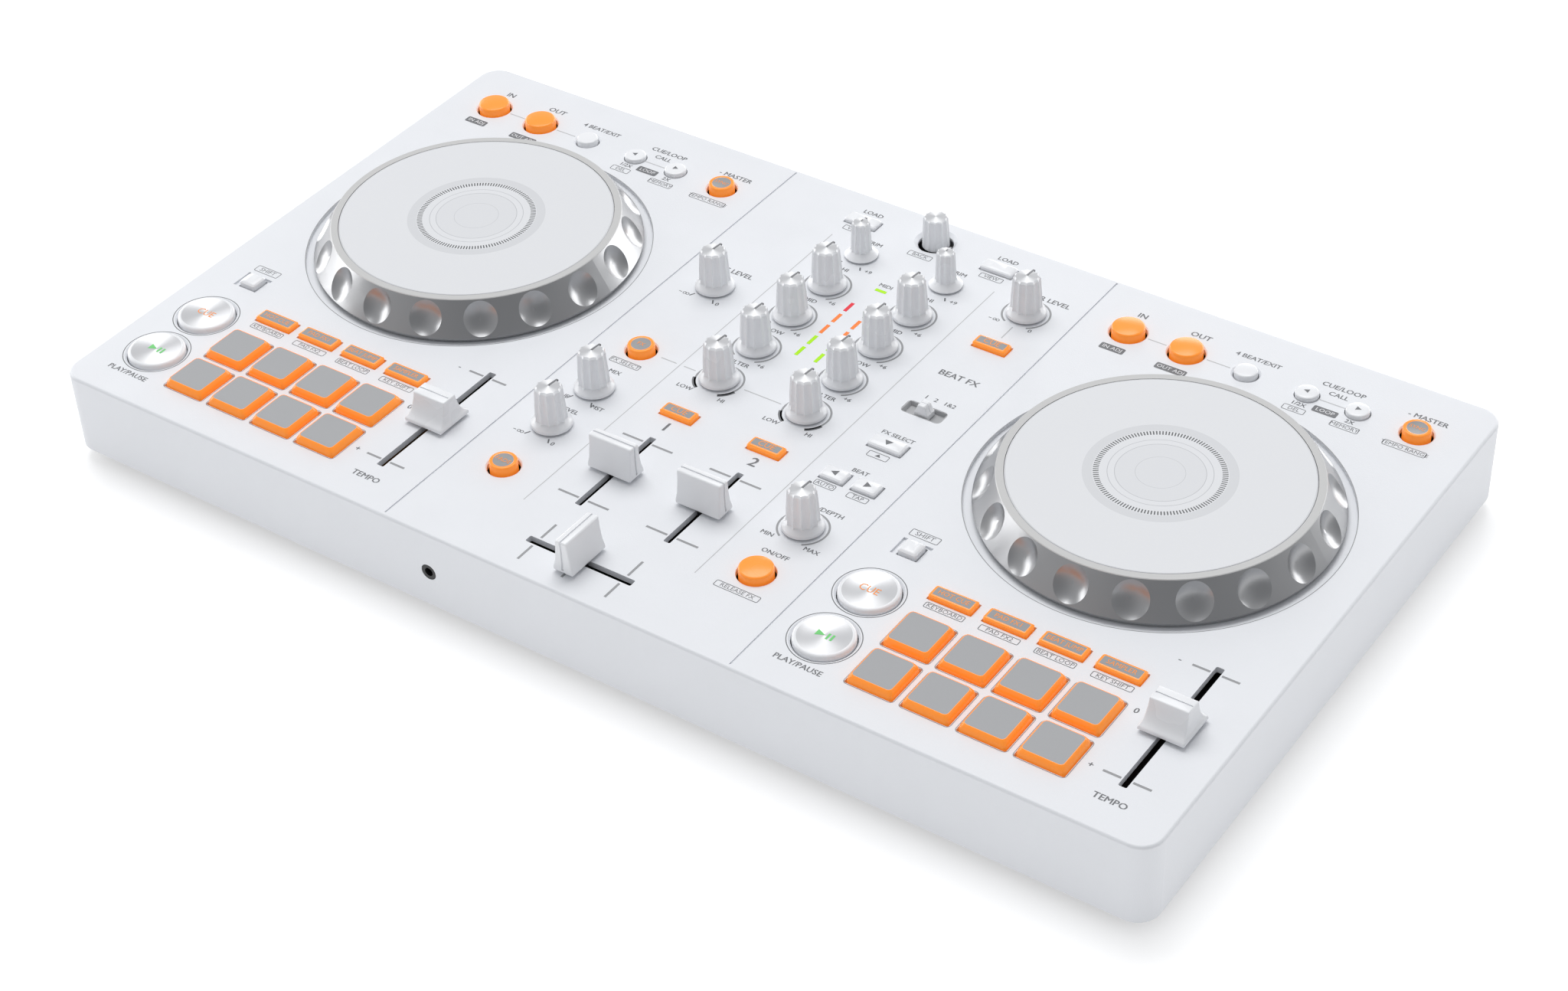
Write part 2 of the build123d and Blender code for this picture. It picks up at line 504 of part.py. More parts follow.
for side, deck_x in (("left", -DECK_X), ("right", DECK_X)):
    with BuildPart() as jog_ring:
        turn_profile(JOG_RING_OUTLINE, deck_x, JOG_Y)
        with Locations((deck_x, JOG_Y, PLATE_TOP + DIMPLE_AT_H)):
            with PolarLocations(DIMPLE_AT_R, DIMPLES, start_angle=10):
                with Locations(Location((0, 0, 0), (0, 90 - CONE_TILT, 0))):
                    with Locations((0, 0, BALL_OUT)):
                        Sphere(DIMPLE_BALL_R, mode=Mode.SUBTRACT)
        with Locations((deck_x, JOG_Y, HUB_BOTTOM - 1.05)):
            Cylinder(12.5, 1.0, align=CENTRED_UP)
            Cylinder(SPINDLE_R + SHAFT_GAP, 1.0, align=CENTRED_UP, mode=Mode.SUBTRACT)
    save(jog_ring.part, f"{side}_jog_ring")
    with BuildPart() as jog_plate:
        turn_profile(
            [
                (0, PLATE_TOP + 11.0), (JOG_PLATE_R, PLATE_TOP + 11.0), (JOG_PLATE_R, PLATE_TOP + JOG_TOP_H - 0.2),
                (JOG_PLATE_R - 0.2, PLATE_TOP + JOG_TOP_H), (0, PLATE_TOP + JOG_TOP_H),
            ],
            deck_x,
            JOG_Y,
        )
    save(jog_plate.part, f"{side}_jog_plate")

# ---- keys ------------------------------------------------------------------------------------------
def build_keys(name, keys):
    """One node of key caps; caps of one strip share a web under the plate."""
    with BuildPart() as caps:
        for key in keys:
            if isinstance(key, RoundKey):
                round_key(key)
            else:
                block_key(key)
        if name.endswith("fx_keys"):
            with Locations((keys[0].x, (keys[0].y + keys[1].y) / 2, LIP_LOW)):
                Box(5.0, keys[0].y - keys[1].y, LIP_HIGH - LIP_LOW, align=CENTRED_UP)
            link_web(keys[1:], 5.0)
        elif len(keys) > 1:
            link_web(keys, 5.0)
    save(caps.part, name)


for side, deck_x in (("left", -DECK_X), ("right", DECK_X)):
    for name, keys in DECK_KEYS.items():
        build_keys(f"{side}_{name}", at_deck(keys, deck_x))
for name, keys in MIXER_KEYS.items():
    build_keys(name, keys)

# ---- knobs: fluted cap with its potentiometer shaft --------------------------------------------------
def knob_outline(size):
    """(radius, height above the plate) from the skirt's underside to the top."""
    if size == BIG:
        return [(7.6, 0.6), (8.0, 1.3), (7.2, 2.6), (6.3, 3.6), (5.9, 9.0), (5.3, 17.6), (4.9, 18.0), (0, KNOB_H)]
    return [(6.6, 0.6), (6.9, 1.2), (5.6, 2.2), (4.4, 3.2), (4.1, 9.0), (3.7, 15.9), (3.4, 16.2), (0, 16.6)]


for knob in KNOBS:
    flute_at = 6.7 if knob.size == BIG else 4.8
    top_h = knob_outline(knob.size)[-1][1]
    with BuildPart() as knob_part:
        outline = [(r, PLATE_TOP + h) for r, h in knob_outline(knob.size)]
        turn_profile([(0, PLATE_TOP + 0.6)] + outline, knob.x, knob.y)
        with Locations((knob.x, knob.y, PLATE_TOP + 4.2)):
            with PolarLocations(flute_at, 12):
                Cylinder(1.0, 20, align=CENTRED_UP, mode=Mode.SUBTRACT)
        with Locations((knob.x, knob.y, PLATE_TOP)):
            Cylinder(POT_SHAFT_R + SHAFT_GAP, 10.1, align=CENTRED_UP, mode=Mode.SUBTRACT)
        with Locations((knob.x, knob.y, BOARD_TOP + 1.0)):
            Cylinder(POT_SHAFT_R, PLATE_TOP + 10.0 - BOARD_TOP - 1.0, align=CENTRED_UP)
    save(knob_part.part, knob.name)

with BuildPart() as browse_shaft:
    with Locations((0, BROWSE_Y, BOARD_TOP + 1.5)):
        Cylinder(POT_SHAFT_R, PLATE_TOP + 8.0 - BOARD_TOP - 1.5, align=CENTRED_UP)
save(browse_shaft.part, "browse_shaft")

with BuildPart() as browse_knob:
    turn_profile(
        [
            (0, PLATE_TOP - 2.0), (5.6, PLATE_TOP - 2.0), (5.6, PLATE_TOP + 2.0), (5.0, PLATE_TOP + 11.4),
            (4.6, PLATE_TOP + 11.8), (0, PLATE_TOP + 12.1),
        ],
        0,
        BROWSE_Y,
    )
    with Locations((0, BROWSE_Y, PLATE_TOP + 0.8)):
        with PolarLocations(6.1, 12):
            Cylinder(1.0, 20, align=CENTRED_UP, mode=Mode.SUBTRACT)
    with Locations((0, BROWSE_Y, PLATE_TOP - 2.0)):
        Cylinder(POT_SHAFT_R + SHAFT_GAP, 10.5, align=CENTRED_UP, mode=Mode.SUBTRACT)
save(browse_knob.part, "browse_knob")

# ---- faders: cap with its blade through the plate -----------------------------------------------------
CAP_LOW_H = 1.0
LEVEL_CAP = {"across": 19.7, "along": 9.0, "top_across": 19.5, "top_along": 5.0, "height": 15.0}
TEMPO_CAP = {"across": 17.6, "along": 17.0, "top_across": 14.8, "top_along": 7.0, "height": 12.2}


def fader(name, slot, cap):
    """Tapered fader cap on its blade; the cap is long across the slot."""
    turn = 90 if slot.along_x else 0
    with BuildPart() as piece:
        with BuildSketch(Plane.XY.offset(PLATE_TOP + CAP_LOW_H)):
            with Locations(Location((slot.x, slot.y, 0), (0, 0, turn))):
                RectangleRounded(cap["across"], cap["along"], 0.8)
        with BuildSketch(Plane.XY.offset(PLATE_TOP + cap["height"])):
            with Locations(Location((slot.x, slot.y, 0), (0, 0, turn))):
                RectangleRounded(cap["top_across"], cap["top_along"], 0.8)
        loft(ruled=True)
        with Locations(Location((slot.x, slot.y, BLADE_BOTTOM), (0, 0, turn))):
            Box(BLADE_T, 6.0, PLATE_TOP + CAP_LOW_H - BLADE_BOTTOM + 0.1, align=CENTRED_UP)
    save(piece.part, name)


for name, slot, cap in zip(
    ("channel_fader_1", "channel_fader_2", "crossfader", "left_tempo_fader", "right_tempo_fader"),
    SLOTS,
    (LEVEL_CAP, LEVEL_CAP, LEVEL_CAP, TEMPO_CAP, TEMPO_CAP),
):
    fader(name, slot, cap)

# ---- channel selector: slide switch lever ---------------------------------------------------------------
with BuildPart() as channel_select:
    with Locations((SELECT_X, SELECT_Y, LIP_LOW)):
        Box(27.0, 10.0, 1.3, align=CENTRED_UP)
    with BuildSketch(Plane.XY.offset(LIP_LOW + 1.2)):
        with Locations((SELECT_X, SELECT_Y)):
            Rectangle(8.6, 5.6)
    with BuildSketch(Plane.XY.offset(PLATE_TOP + 4.2)):
        with Locations((SELECT_X, SELECT_Y)):
            Rectangle(3.7, 4.8)
    loft(ruled=True)
    with Locations((SELECT_X, SELECT_Y, BOARD_TOP + 3.0)):
        Box(4.0, BLADE_T, LIP_LOW - BOARD_TOP - 2.9, align=CENTRED_UP)
save(channel_select.part, "channel_select")
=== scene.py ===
# %% [markdown]
# # A two-deck DJ controller
# The CAD frame holds every solid of the unit, where it belongs. This lesson dresses it: finishes for the
# moulded case and the metal parts, new caps for the knobs, faders and keys, and the printed markings.

# %% Load the frame and keep its box
import json
from math import pi, radians, sin

import bmesh
import bpy
from mathutils import Matrix, Vector

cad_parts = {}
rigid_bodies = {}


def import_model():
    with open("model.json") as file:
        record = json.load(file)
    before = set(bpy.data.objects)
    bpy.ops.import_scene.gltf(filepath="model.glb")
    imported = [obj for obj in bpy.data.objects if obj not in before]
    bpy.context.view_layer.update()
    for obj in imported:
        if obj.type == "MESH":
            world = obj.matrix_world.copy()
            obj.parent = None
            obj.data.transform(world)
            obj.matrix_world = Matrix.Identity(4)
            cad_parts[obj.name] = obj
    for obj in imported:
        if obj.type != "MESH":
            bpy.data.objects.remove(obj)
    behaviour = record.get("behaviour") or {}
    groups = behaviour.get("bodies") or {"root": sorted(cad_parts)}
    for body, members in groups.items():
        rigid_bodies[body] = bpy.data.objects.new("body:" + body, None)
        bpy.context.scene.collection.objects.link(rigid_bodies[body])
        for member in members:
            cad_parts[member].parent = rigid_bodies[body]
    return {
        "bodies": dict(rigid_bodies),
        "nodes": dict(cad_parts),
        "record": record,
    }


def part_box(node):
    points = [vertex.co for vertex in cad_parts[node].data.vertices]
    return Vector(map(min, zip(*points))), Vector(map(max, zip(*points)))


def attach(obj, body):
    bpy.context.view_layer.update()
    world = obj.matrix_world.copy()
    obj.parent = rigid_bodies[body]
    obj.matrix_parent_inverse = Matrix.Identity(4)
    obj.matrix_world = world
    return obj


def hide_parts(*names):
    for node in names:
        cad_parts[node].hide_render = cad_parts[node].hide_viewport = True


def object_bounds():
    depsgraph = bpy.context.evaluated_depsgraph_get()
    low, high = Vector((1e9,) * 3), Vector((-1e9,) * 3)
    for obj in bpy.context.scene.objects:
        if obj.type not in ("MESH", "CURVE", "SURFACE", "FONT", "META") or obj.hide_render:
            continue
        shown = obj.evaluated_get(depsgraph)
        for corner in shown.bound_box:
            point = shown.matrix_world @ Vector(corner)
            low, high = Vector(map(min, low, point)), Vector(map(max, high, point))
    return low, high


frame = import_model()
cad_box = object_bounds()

MM = 0.001
PLATE_UP = 40.7
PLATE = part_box("rubber_feet")[0][2] + PLATE_UP * MM
print("CAD box", cad_box, "plate at", PLATE)

# %% [markdown]
# ## Camera
# The unit is seen from above its front right corner with a long lens, which keeps its edges almost
# parallel. The camera is turned to its bearing first, then tipped down, and then rolled a little.

# %% Camera
CAMERA_AT = (0.54295, -0.73712, 0.72768)
BEARING, LOOK_DOWN, ROLL = 36.14, 38.89, -2.54

lens = bpy.data.cameras.new("studio_camera")
lens.lens = 69.19
lens.sensor_width = 36.0
lens.clip_start = 0.05
camera = bpy.data.objects.new("studio_camera", lens)
bpy.context.scene.collection.objects.link(camera)
aim = Matrix.Rotation(radians(BEARING), 4, "Z") @ Matrix.Rotation(radians(90 - LOOK_DOWN), 4, "X")
camera.matrix_world = Matrix.Translation(CAMERA_AT) @ aim @ Matrix.Rotation(radians(ROLL), 4, "Z")
bpy.context.scene.camera = camera
print("camera lens", lens.lens, "mm")

# %% Helpers to start a new piece
def start_fresh():
    """Back to object mode with nothing selected."""
    if bpy.context.object and bpy.context.object.mode != "OBJECT":
        bpy.ops.object.mode_set(mode="OBJECT")
    bpy.ops.object.select_all(action="DESELECT")


def name_piece(piece, name):
    piece.name = name
    piece.data.name = name
    return piece


# %% [markdown]
# ## Shader maths
# A finish is a handful of nodes. A small class lets numbers that vary over a surface be written as plain
# expressions, and one method makes every other node.

# %% Expressions and finishes
class Varying:
    """A number that changes over the surface. Working with it adds Math nodes."""

    def __init__(self, finish, socket):
        self.finish = finish
        self.socket = socket

    def math(self, operation, first, second=0.0):
        node = self.finish.node("ShaderNodeMath", {"operation": operation}, {0: first, 1: second})
        return Varying(self.finish, node.outputs[0])

    def __add__(self, other):
        return self.math("ADD", self, other)

    __radd__ = __add__

    def __sub__(self, other):
        return self.math("SUBTRACT", self, other)

    def __rsub__(self, other):
        return self.math("SUBTRACT", other, self)

    def __mul__(self, other):
        return self.math("MULTIPLY", self, other)

    __rmul__ = __mul__

    def __gt__(self, other):
        return self.math("GREATER_THAN", self, other)

    def __lt__(self, other):
        return self.math("LESS_THAN", self, other)

    def between(self, low, high):
        return (self > low) * (self < high)


class Finish:
    """A material under construction round its Principled shader."""

    def __init__(self, name, color, roughness, metallic=0.0):
        self.material = bpy.data.materials.new(name)
        self.material.use_nodes = True
        self.tree = self.material.node_tree
        self.shader = self.tree.nodes["Principled BSDF"]
        self.set("Base Color", (*color, 1.0))
        self.set("Roughness", roughness)
        self.set("Metallic", metallic)

    def plug(self, socket, value):
        if isinstance(value, Varying):
            self.tree.links.new(value.socket, socket)
        elif isinstance(value, bpy.types.NodeSocket):
            self.tree.links.new(value, socket)
        else:
            socket.default_value = value

    def set(self, socket, value):
        self.plug(self.shader.inputs[socket], value)

    def node(self, kind, settings, sockets):
        made = self.tree.nodes.new(kind)
        for key, value in settings.items():
            setattr(made, key, value)
        for key, value in sockets.items():
            self.plug(made.inputs[key], value)
        return made

    def place(self, centre=(0, 0, 0)):
        """Object coordinates in millimetres, measured from a centre."""
        source = self.node("ShaderNodeTexCoord", {}, {})
        shift = self.node("ShaderNodeMapping", {"vector_type": "POINT"}, {"Vector": source.outputs["Object"]})
        shift.inputs["Scale"].default_value = (1000, 1000, 1000)
        shift.inputs["Location"].default_value = [-1000 * c for c in centre]
        return shift.outputs[0]

    def axes(self, vector):
        split = self.node("ShaderNodeSeparateXYZ", {}, {0: vector})
        return [Varying(self, out) for out in split.outputs]

    def noise(self, vector, scale, detail=2.0):
        made = self.node("ShaderNodeTexNoise", {}, {"Vector": vector, "Scale": scale, "Detail": detail})
        return Varying(self, made.outputs["Fac"])

    def polar(self, vector):
        """Distance from the upright axis, and the angle round it."""
        x, y, _ = self.axes(vector)
        radius = self.node("ShaderNodeMath", {"operation": "SQRT"}, {0: x * x + y * y})
        angle = self.node("ShaderNodeMath", {"operation": "ARCTAN2"}, {0: y, 1: x})
        return Varying(self, radius.outputs[0]), Varying(self, angle.outputs[0])

    def blend(self, factor, low, high):
        mix = self.node("ShaderNodeMix", {"data_type": "RGBA"}, {0: factor})
        for socket, color in ((mix.inputs[6], low), (mix.inputs[7], high)):
            self.plug(socket, color if isinstance(color, bpy.types.NodeSocket) else (*color, 1.0))
        return mix.outputs[2]

    def bump(self, height, strength, distance):
        made = self.node("ShaderNodeBump", {}, {"Strength": strength, "Distance": distance, "Height": height})
        self.set("Normal", made.outputs[0])


def moulded(name, color, roughness, grain=0.25, shade=0.05, coarse=1.1):
    """Moulded plastic: a fine spark-eroded grain, and a little unevenness in tone and gloss."""
    finish = Finish(name, color, roughness)
    place = finish.place()
    fine = finish.noise(place, coarse)
    broad = finish.noise(place, 0.05)
    finish.bump(fine, grain, 0.00008)
    dim = [c * (1 - shade) for c in color]
    finish.set("Base Color", finish.blend(broad * 0.6 + fine * 0.4, dim, color))
    finish.set("Roughness", roughness - 0.06 + broad * 0.12)
    return finish.material


# %% [markdown]
# ## Finishes
# The white case is satin with a fine grain. The caps are smoother, the keys are an orange plastic with a
# faint painted glow, and the ring of each jog wheel is satin metal. Printed lines are flat inks.

# %% The moulded finishes and inks
WHITE = (0.80, 0.815, 0.845)
SLOT_FINISH = {
    "white_shell": moulded("case_white", WHITE, 0.42, 0.5, 0.05, 2.2),
    "dark_shell": moulded("tray_charcoal", (0.03, 0.03, 0.033), 0.6, 0.5, 0.2),
    "foot_rubber": moulded("foot_rubber", (0.022, 0.022, 0.022), 0.85, 0.6, 0.25),
    "black_plastic": moulded("black_plastic", (0.012, 0.012, 0.013), 0.45, 0.3, 0.2),
    "white_cap": moulded("cap_white", (0.87, 0.88, 0.90), 0.26, 0.12, 0.03),
    "board": moulded("solder_mask", (0.01, 0.06, 0.03), 0.35, 0.3, 0.3),
    "pad_rubber": moulded("pad_grey", (0.36, 0.365, 0.375), 0.5, 0.4, 0.06),
    "orange_key": moulded("key_orange", (0.95, 0.27, 0.02), 0.25, 0.08, 0.06),
}
# The orange keys get a faint painted glow: emission that stands in for the lit-from-within look of the orange
# plastic.
orange_shader = SLOT_FINISH["orange_key"].node_tree.nodes["Principled BSDF"]
orange_shader.inputs["Emission Color"].default_value = (1, 0.3, 0.04, 1)
orange_shader.inputs["Emission Strength"].default_value = 0.3
INK_GREY = moulded("ink_grey", (0.15, 0.155, 0.165), 0.5, 0.1, 0.04)
INK_LINE = moulded("ink_line", (0.50, 0.505, 0.515), 0.5, 0.1, 0.04)
# This grey serves the printed ticks, and also the painted shade ring at each jog wheel's dish.
INK_TICK_AND_SHADE = moulded("ink_tick_and_shade", (0.30, 0.305, 0.315), 0.5, 0.1, 0.04)
INK_WHITE = moulded("ink_white", (0.8, 0.8, 0.82), 0.5, 0.1, 0.02)
INK_ORANGE = moulded("ink_orange", (0.98, 0.30, 0.03), 0.5, 0.1, 0.04)
INK_GREEN = moulded("ink_green", (0.14, 0.62, 0.16), 0.5, 0.1, 0.04)
POINTER_GREY = moulded("pointer_grey", (0.17, 0.175, 0.185), 0.4, 0.1, 0.05)
LEGEND_GREY = moulded("legend_grey", (0.30, 0.305, 0.31), 0.5, 0.3, 0.05)

# %% [markdown]
# Metals get tiny scratches in their roughness. Turned faces carry fine rings from the lathe as a bump, and a
# painted sheen of bright and dark wedges in their colour, opening from the middle.

# %% Metals and the meter lenses
def metal(name, color, roughness, spread=0.1):
    finish = Finish(name, color, roughness, 1.0)
    place = finish.place()
    finish.set("Roughness", roughness - spread / 2 + finish.noise(place, 0.4, 4.0) * spread)
    finish.bump(finish.noise(place, 6.0), 0.03, 0.00003)
    return finish.material


RING_METAL = (0.37, 0.373, 0.38)
RIM_PAINTED_REFLECTION = (0.56, 0.56, 0.555)
RIM_FROM = 13.45


def jog_ring_finish():
    """Satin metal on the cone, and on the flat metal rim round the touch plate a painted reflection: matt
    grey in place of a metal mirror.
    """
    finish = Finish("jog_ring_metal", RING_METAL, 0.3, 1.0)
    # The rim band is the same metal as the cone; its matt grey is a painted reflection.
    rim = finish.axes(finish.place((0, 0, PLATE)))[2] > RIM_FROM
    cloud = finish.noise(finish.place(), 0.4, 4.0)
    finish.set("Metallic", 1 - rim)
    finish.set("Roughness", 0.29 + cloud * 0.03)
    finish.set("Base Color", finish.blend(rim, RING_METAL, RIM_PAINTED_REFLECTION))
    return finish.material


# The turn of the painted sheen wedges on turned tops.
WEDGE_TURN = 1.885
LATHE_RINGS = 16


def spun(name, light, painted_shade_color, roughness, metallic):
    """A lathe-turned top: lathe rings as a bump, and a painted sheen of bright and dark wedges by the angle
    in the piece's own plan map.
    """
    finish = Finish(name, light, roughness, metallic)
    plan = finish.node("ShaderNodeUVMap", {"uv_map": "plan"}, {}).outputs[0]
    radius, angle = finish.polar(plan)
    wedge = finish.node("ShaderNodeMath", {"operation": "COSINE"}, {0: angle * 2 + WEDGE_TURN})
    wave = finish.node("ShaderNodeMath", {"operation": "SINE"}, {0: radius * LATHE_RINGS})
    # The light and dull colours are the two ends of a painted sheen: wedges drawn into the base colour by
    # angle. Only the lathe rings are real, as a bump.
    painted_sheen = Varying(finish, wedge.outputs[0]) * 0.5 + 0.5
    finish.set("Base Color", finish.blend(painted_sheen * painted_sheen, painted_shade_color, light))
    finish.bump(Varying(finish, wave.outputs[0]), 0.15, 0.00002)
    return finish.material


def lens_finish():
    """The meter lenses take their colour from their place in the column."""
    finish = Finish("meter_lens", (0.3, 0.3, 0.3), 0.25)
    x, y, _ = finish.axes(finish.place())
    red, orange = (0.75, 0.03, 0.05), (0.9, 0.22, 0.04)
    green, off = (0.40, 0.78, 0.0), (0.36, 0.37, 0.36)
    glow = finish.blend(y > 40, green, orange)
    glow = finish.blend(y > 57, glow, red)
    glow = finish.blend((y > 57) * (x > 0), glow, off)
    glow = finish.blend(y > 70, glow, green)
    finish.set("Base Color", glow)
    finish.set("Emission Color", glow)
    finish.set("Emission Strength", 0.12)
    return finish.material


SLOT_FINISH["steel"] = metal("screw_steel", (0.6, 0.6, 0.61), 0.35)
SLOT_FINISH["chrome_plate"] = metal("socket_chrome", (0.75, 0.75, 0.77), 0.12, 0.06)
SLOT_FINISH["silver_ring"] = jog_ring_finish()
SLOT_FINISH["lens"] = lens_finish()
# The metal key tops and the knob tops carry the painted sheen wedges.
SLOT_FINISH["metal_key"] = spun("key_spun_metal", (0.97, 0.975, 0.985), (0.55, 0.555, 0.57), 0.32, 0.25)
TRAY_GREY = moulded("tray_grey", (0.42, 0.425, 0.435), 0.45, 0.2, 0.05)
KNOB_TOP = spun("knob_top", (0.95, 0.955, 0.965), (0.50, 0.505, 0.52), 0.34, 0.1)
print(len(bpy.data.materials), "finishes")

# %% [markdown]
# The touch plate of a jog wheel is a white disc. Printed on it are a ring of fine ticks, a greyer band
# outside them, and three thin circles inside. All of it is drawn by radius and angle from the middle.

# %% Jog touch plate
TICKS = 128
TOUCH_WHITE = (0.74, 0.75, 0.77)


def jog_plate_finish(name, centre):
    finish = Finish(name, WHITE, 0.3)
    radius, angle = finish.polar(finish.place(centre))
    turn = finish.node("ShaderNodeMath", {"operation": "FRACT"}, {0: (angle + pi) * (TICKS / (2 * pi))})
    ticks = radius.between(22.0, 24.1) * Varying(finish, turn.outputs[0]).between(0.28, 0.72)
    band = radius.between(24.4, 28.0) * 0.35
    circles = radius.between(18.85, 19.1) + radius.between(16.25, 16.5) + radius.between(8.9, 9.1) * 0.6
    rim = radius.between(55.2, 56.4) * 0.5
    heart = (radius < 16.3) * 0.14
    grain = finish.noise(finish.place(), 1.1)
    tone = finish.blend(grain, [c * 0.98 for c in TOUCH_WHITE], TOUCH_WHITE)
    tone = finish.blend(band + circles + rim + heart, tone, (0.5, 0.51, 0.53))
    tone = finish.blend(ticks, tone, (0.10, 0.105, 0.11))
    finish.set("Base Color", tone)
    finish.bump(grain, 0.1, 0.00005)
    return finish.material


def middle(node):
    low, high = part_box(node)
    return [(a + b) / 2 for a, b in zip(low, high)]


# %% Give every CAD node its finish
for part in frame["record"]["subparts"]:
    node = frame["nodes"][part["node"]]
    node.data.materials.clear()
    node.data.materials.append(SLOT_FINISH[part["material_slot"]])
for side in ("left", "right"):
    plate = frame["nodes"][f"{side}_jog_plate"]
    plate.data.materials[0] = jog_plate_finish(f"{side}_touch_plate", middle(f"{side}_jog_plate"))

# %% [markdown]
# ## Tools for making caps
# A cap starts as a flat circle or rectangle that is extruded ring by ring up its outline, as a thrown pot
# is. Its plan coordinates are kept in a map, so the painted sheen of turned tops follows it when it is copied
# or moved.

# %% Stacking, picking and copying
def stack(name, start, levels, sides=0):
    """Extrudes a flat start through (half width, half depth, height) levels, in millimetres."""
    start_fresh()
    if sides:
        bpy.ops.mesh.primitive_circle_add(vertices=sides, radius=start[0] * MM, fill_type="NGON")
    else:
        bpy.ops.mesh.primitive_plane_add(size=2 * MM)
    piece = name_piece(bpy.context.object, name)
    bpy.ops.object.mode_set(mode="EDIT")
    bpy.ops.mesh.select_all(action="SELECT")
    if not sides:
        bpy.ops.transform.resize(value=(start[0], start[1], 1), center_override=(0, 0, 0))
    bpy.ops.transform.translate(value=(0, 0, start[2] * MM))
    last = start
    for level in levels:
        if level[0] == 0:
            bpy.ops.mesh.extrude_region()
            bpy.ops.transform.translate(value=(0, 0, (level[2] - last[2]) * MM))
            bpy.ops.mesh.merge(type="CENTER")
            break
        bpy.ops.mesh.extrude_region()
        bpy.ops.transform.resize(value=(level[0] / last[0], level[1] / last[1], 1), center_override=(0, 0, 0))
        bpy.ops.transform.translate(value=(0, 0, (level[2] - last[2]) * MM))
        last = level
    bpy.ops.mesh.select_all(action="SELECT")
    bpy.ops.mesh.normals_make_consistent(inside=False)
    bpy.ops.object.mode_set(mode="OBJECT")
    return piece


def turned(name, outline, sides=64):
    """A stack of round levels from (radius, height) points."""
    levels = [(r, r, h) for r, h in outline]
    return stack(name, levels[0], levels[1:], sides)


def pick_faces(piece, rule):
    """In edit mode, selects the faces whose middle (mm) and normal pass the rule."""
    shape = bmesh.from_edit_mesh(piece.data)
    shape.normal_update()
    bpy.context.tool_settings.mesh_select_mode = (False, False, True)
    for face in shape.faces:
        face.select_set(False)
    for face in shape.faces:
        if rule(face.calc_center_median() / MM, face.normal):
            face.select_set(True)
    bmesh.update_edit_mesh(piece.data)


def pick_verts(piece, rule):
    shape = bmesh.from_edit_mesh(piece.data)
    bpy.context.tool_settings.mesh_select_mode = (True, False, False)
    for vert in shape.verts:
        vert.select_set(False)
    for vert in shape.verts:
        if rule(vert.co / MM, vert.index):
            vert.select_set(True)
    bmesh.update_edit_mesh(piece.data)


def pick_edges(piece, rule):
    shape = bmesh.from_edit_mesh(piece.data)
    bpy.context.tool_settings.mesh_select_mode = (False, True, False)
    for edge in shape.edges:
        edge.select_set(False)
    for edge in shape.edges:
        if rule(edge.verts[0].co / MM, edge.verts[1].co / MM):
            edge.select_set(True)
    bmesh.update_edit_mesh(piece.data)


def paint(piece, finish):
    """In edit mode, gives the selected faces a finish."""
    if finish.name not in piece.data.materials:
        piece.data.materials.append(finish)
    piece.active_material_index = piece.data.materials.find(finish.name)
    bpy.ops.object.material_slot_assign()


def edit(piece):
    start_fresh()
    bpy.context.view_layer.objects.active = piece
    piece.select_set(True)
    bpy.ops.object.mode_set(mode="EDIT")
    bpy.ops.mesh.select_all(action="DESELECT")


def smooth(piece, angle=30):
    start_fresh()
    bpy.context.view_layer.objects.active = piece
    piece.select_set(True)
    bpy.ops.object.shade_smooth_by_angle(angle=radians(angle), keep_sharp_edges=True)


def keep_plan(piece):
    """Stores each corner's plan place in millimetres from the piece's middle as the map 'plan'."""
    layer = piece.data.uv_layers.new(name="plan")
    spots = [(piece.data.vertices[loop.vertex_index].co / MM).xy for loop in piece.data.loops]
    layer.data.foreach_set("uv", [value for spot in spots for value in spot])


def copy_to(master, name, x, y, turn=0.0, z=PLATE):
    """A copy with its own mesh, moved (metres) and turned inside the mesh."""
    piece = name_piece(master.copy(), name)
    piece.data = master.data.copy()
    piece.data.name = name
    piece.data.transform(Matrix.Translation((x, y, z)) @ Matrix.Rotation(turn, 4, "Z"))
    bpy.context.scene.collection.objects.link(piece)
    return piece


def join(pieces, name):
    """Several pieces become one mesh."""
    start_fresh()
    for piece in pieces:
        piece.select_set(True)
    bpy.context.view_layer.objects.active = pieces[0]
    if len(pieces) > 1:
        bpy.ops.object.join()
    return name_piece(bpy.context.object, name)


def drop(*pieces):
    for piece in pieces:
        bpy.data.objects.remove(piece)


def stand_in(piece, node, body=None):
    """The piece takes over from a CAD node: it rides on its body and shows instead of it."""
    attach(piece, body or node)
    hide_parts(node)


# %% [markdown]
# ## Knobs
# Each knob is a white moulding with a soft skirt, twelve shallow flutes that leave narrow ridges for the
# fingers, a bevelled rim, a turned top and a grey pointer bar. The flutes are made by drawing in seven of
# every eight corners of the rings, deepest in the middle of a flute.

# %% Model the two knobs and the browse knob
CAP_WHITE = SLOT_FINISH["white_cap"]
KNOB_SIDES = 96
FLUTE_SIDES = 8
FLUTE_DRAW = {1: 0.948, 7: 0.948, 2: 0.912, 6: 0.912, 3: 0.894, 5: 0.894, 4: 0.888}
POINTER_SINK = 0.71


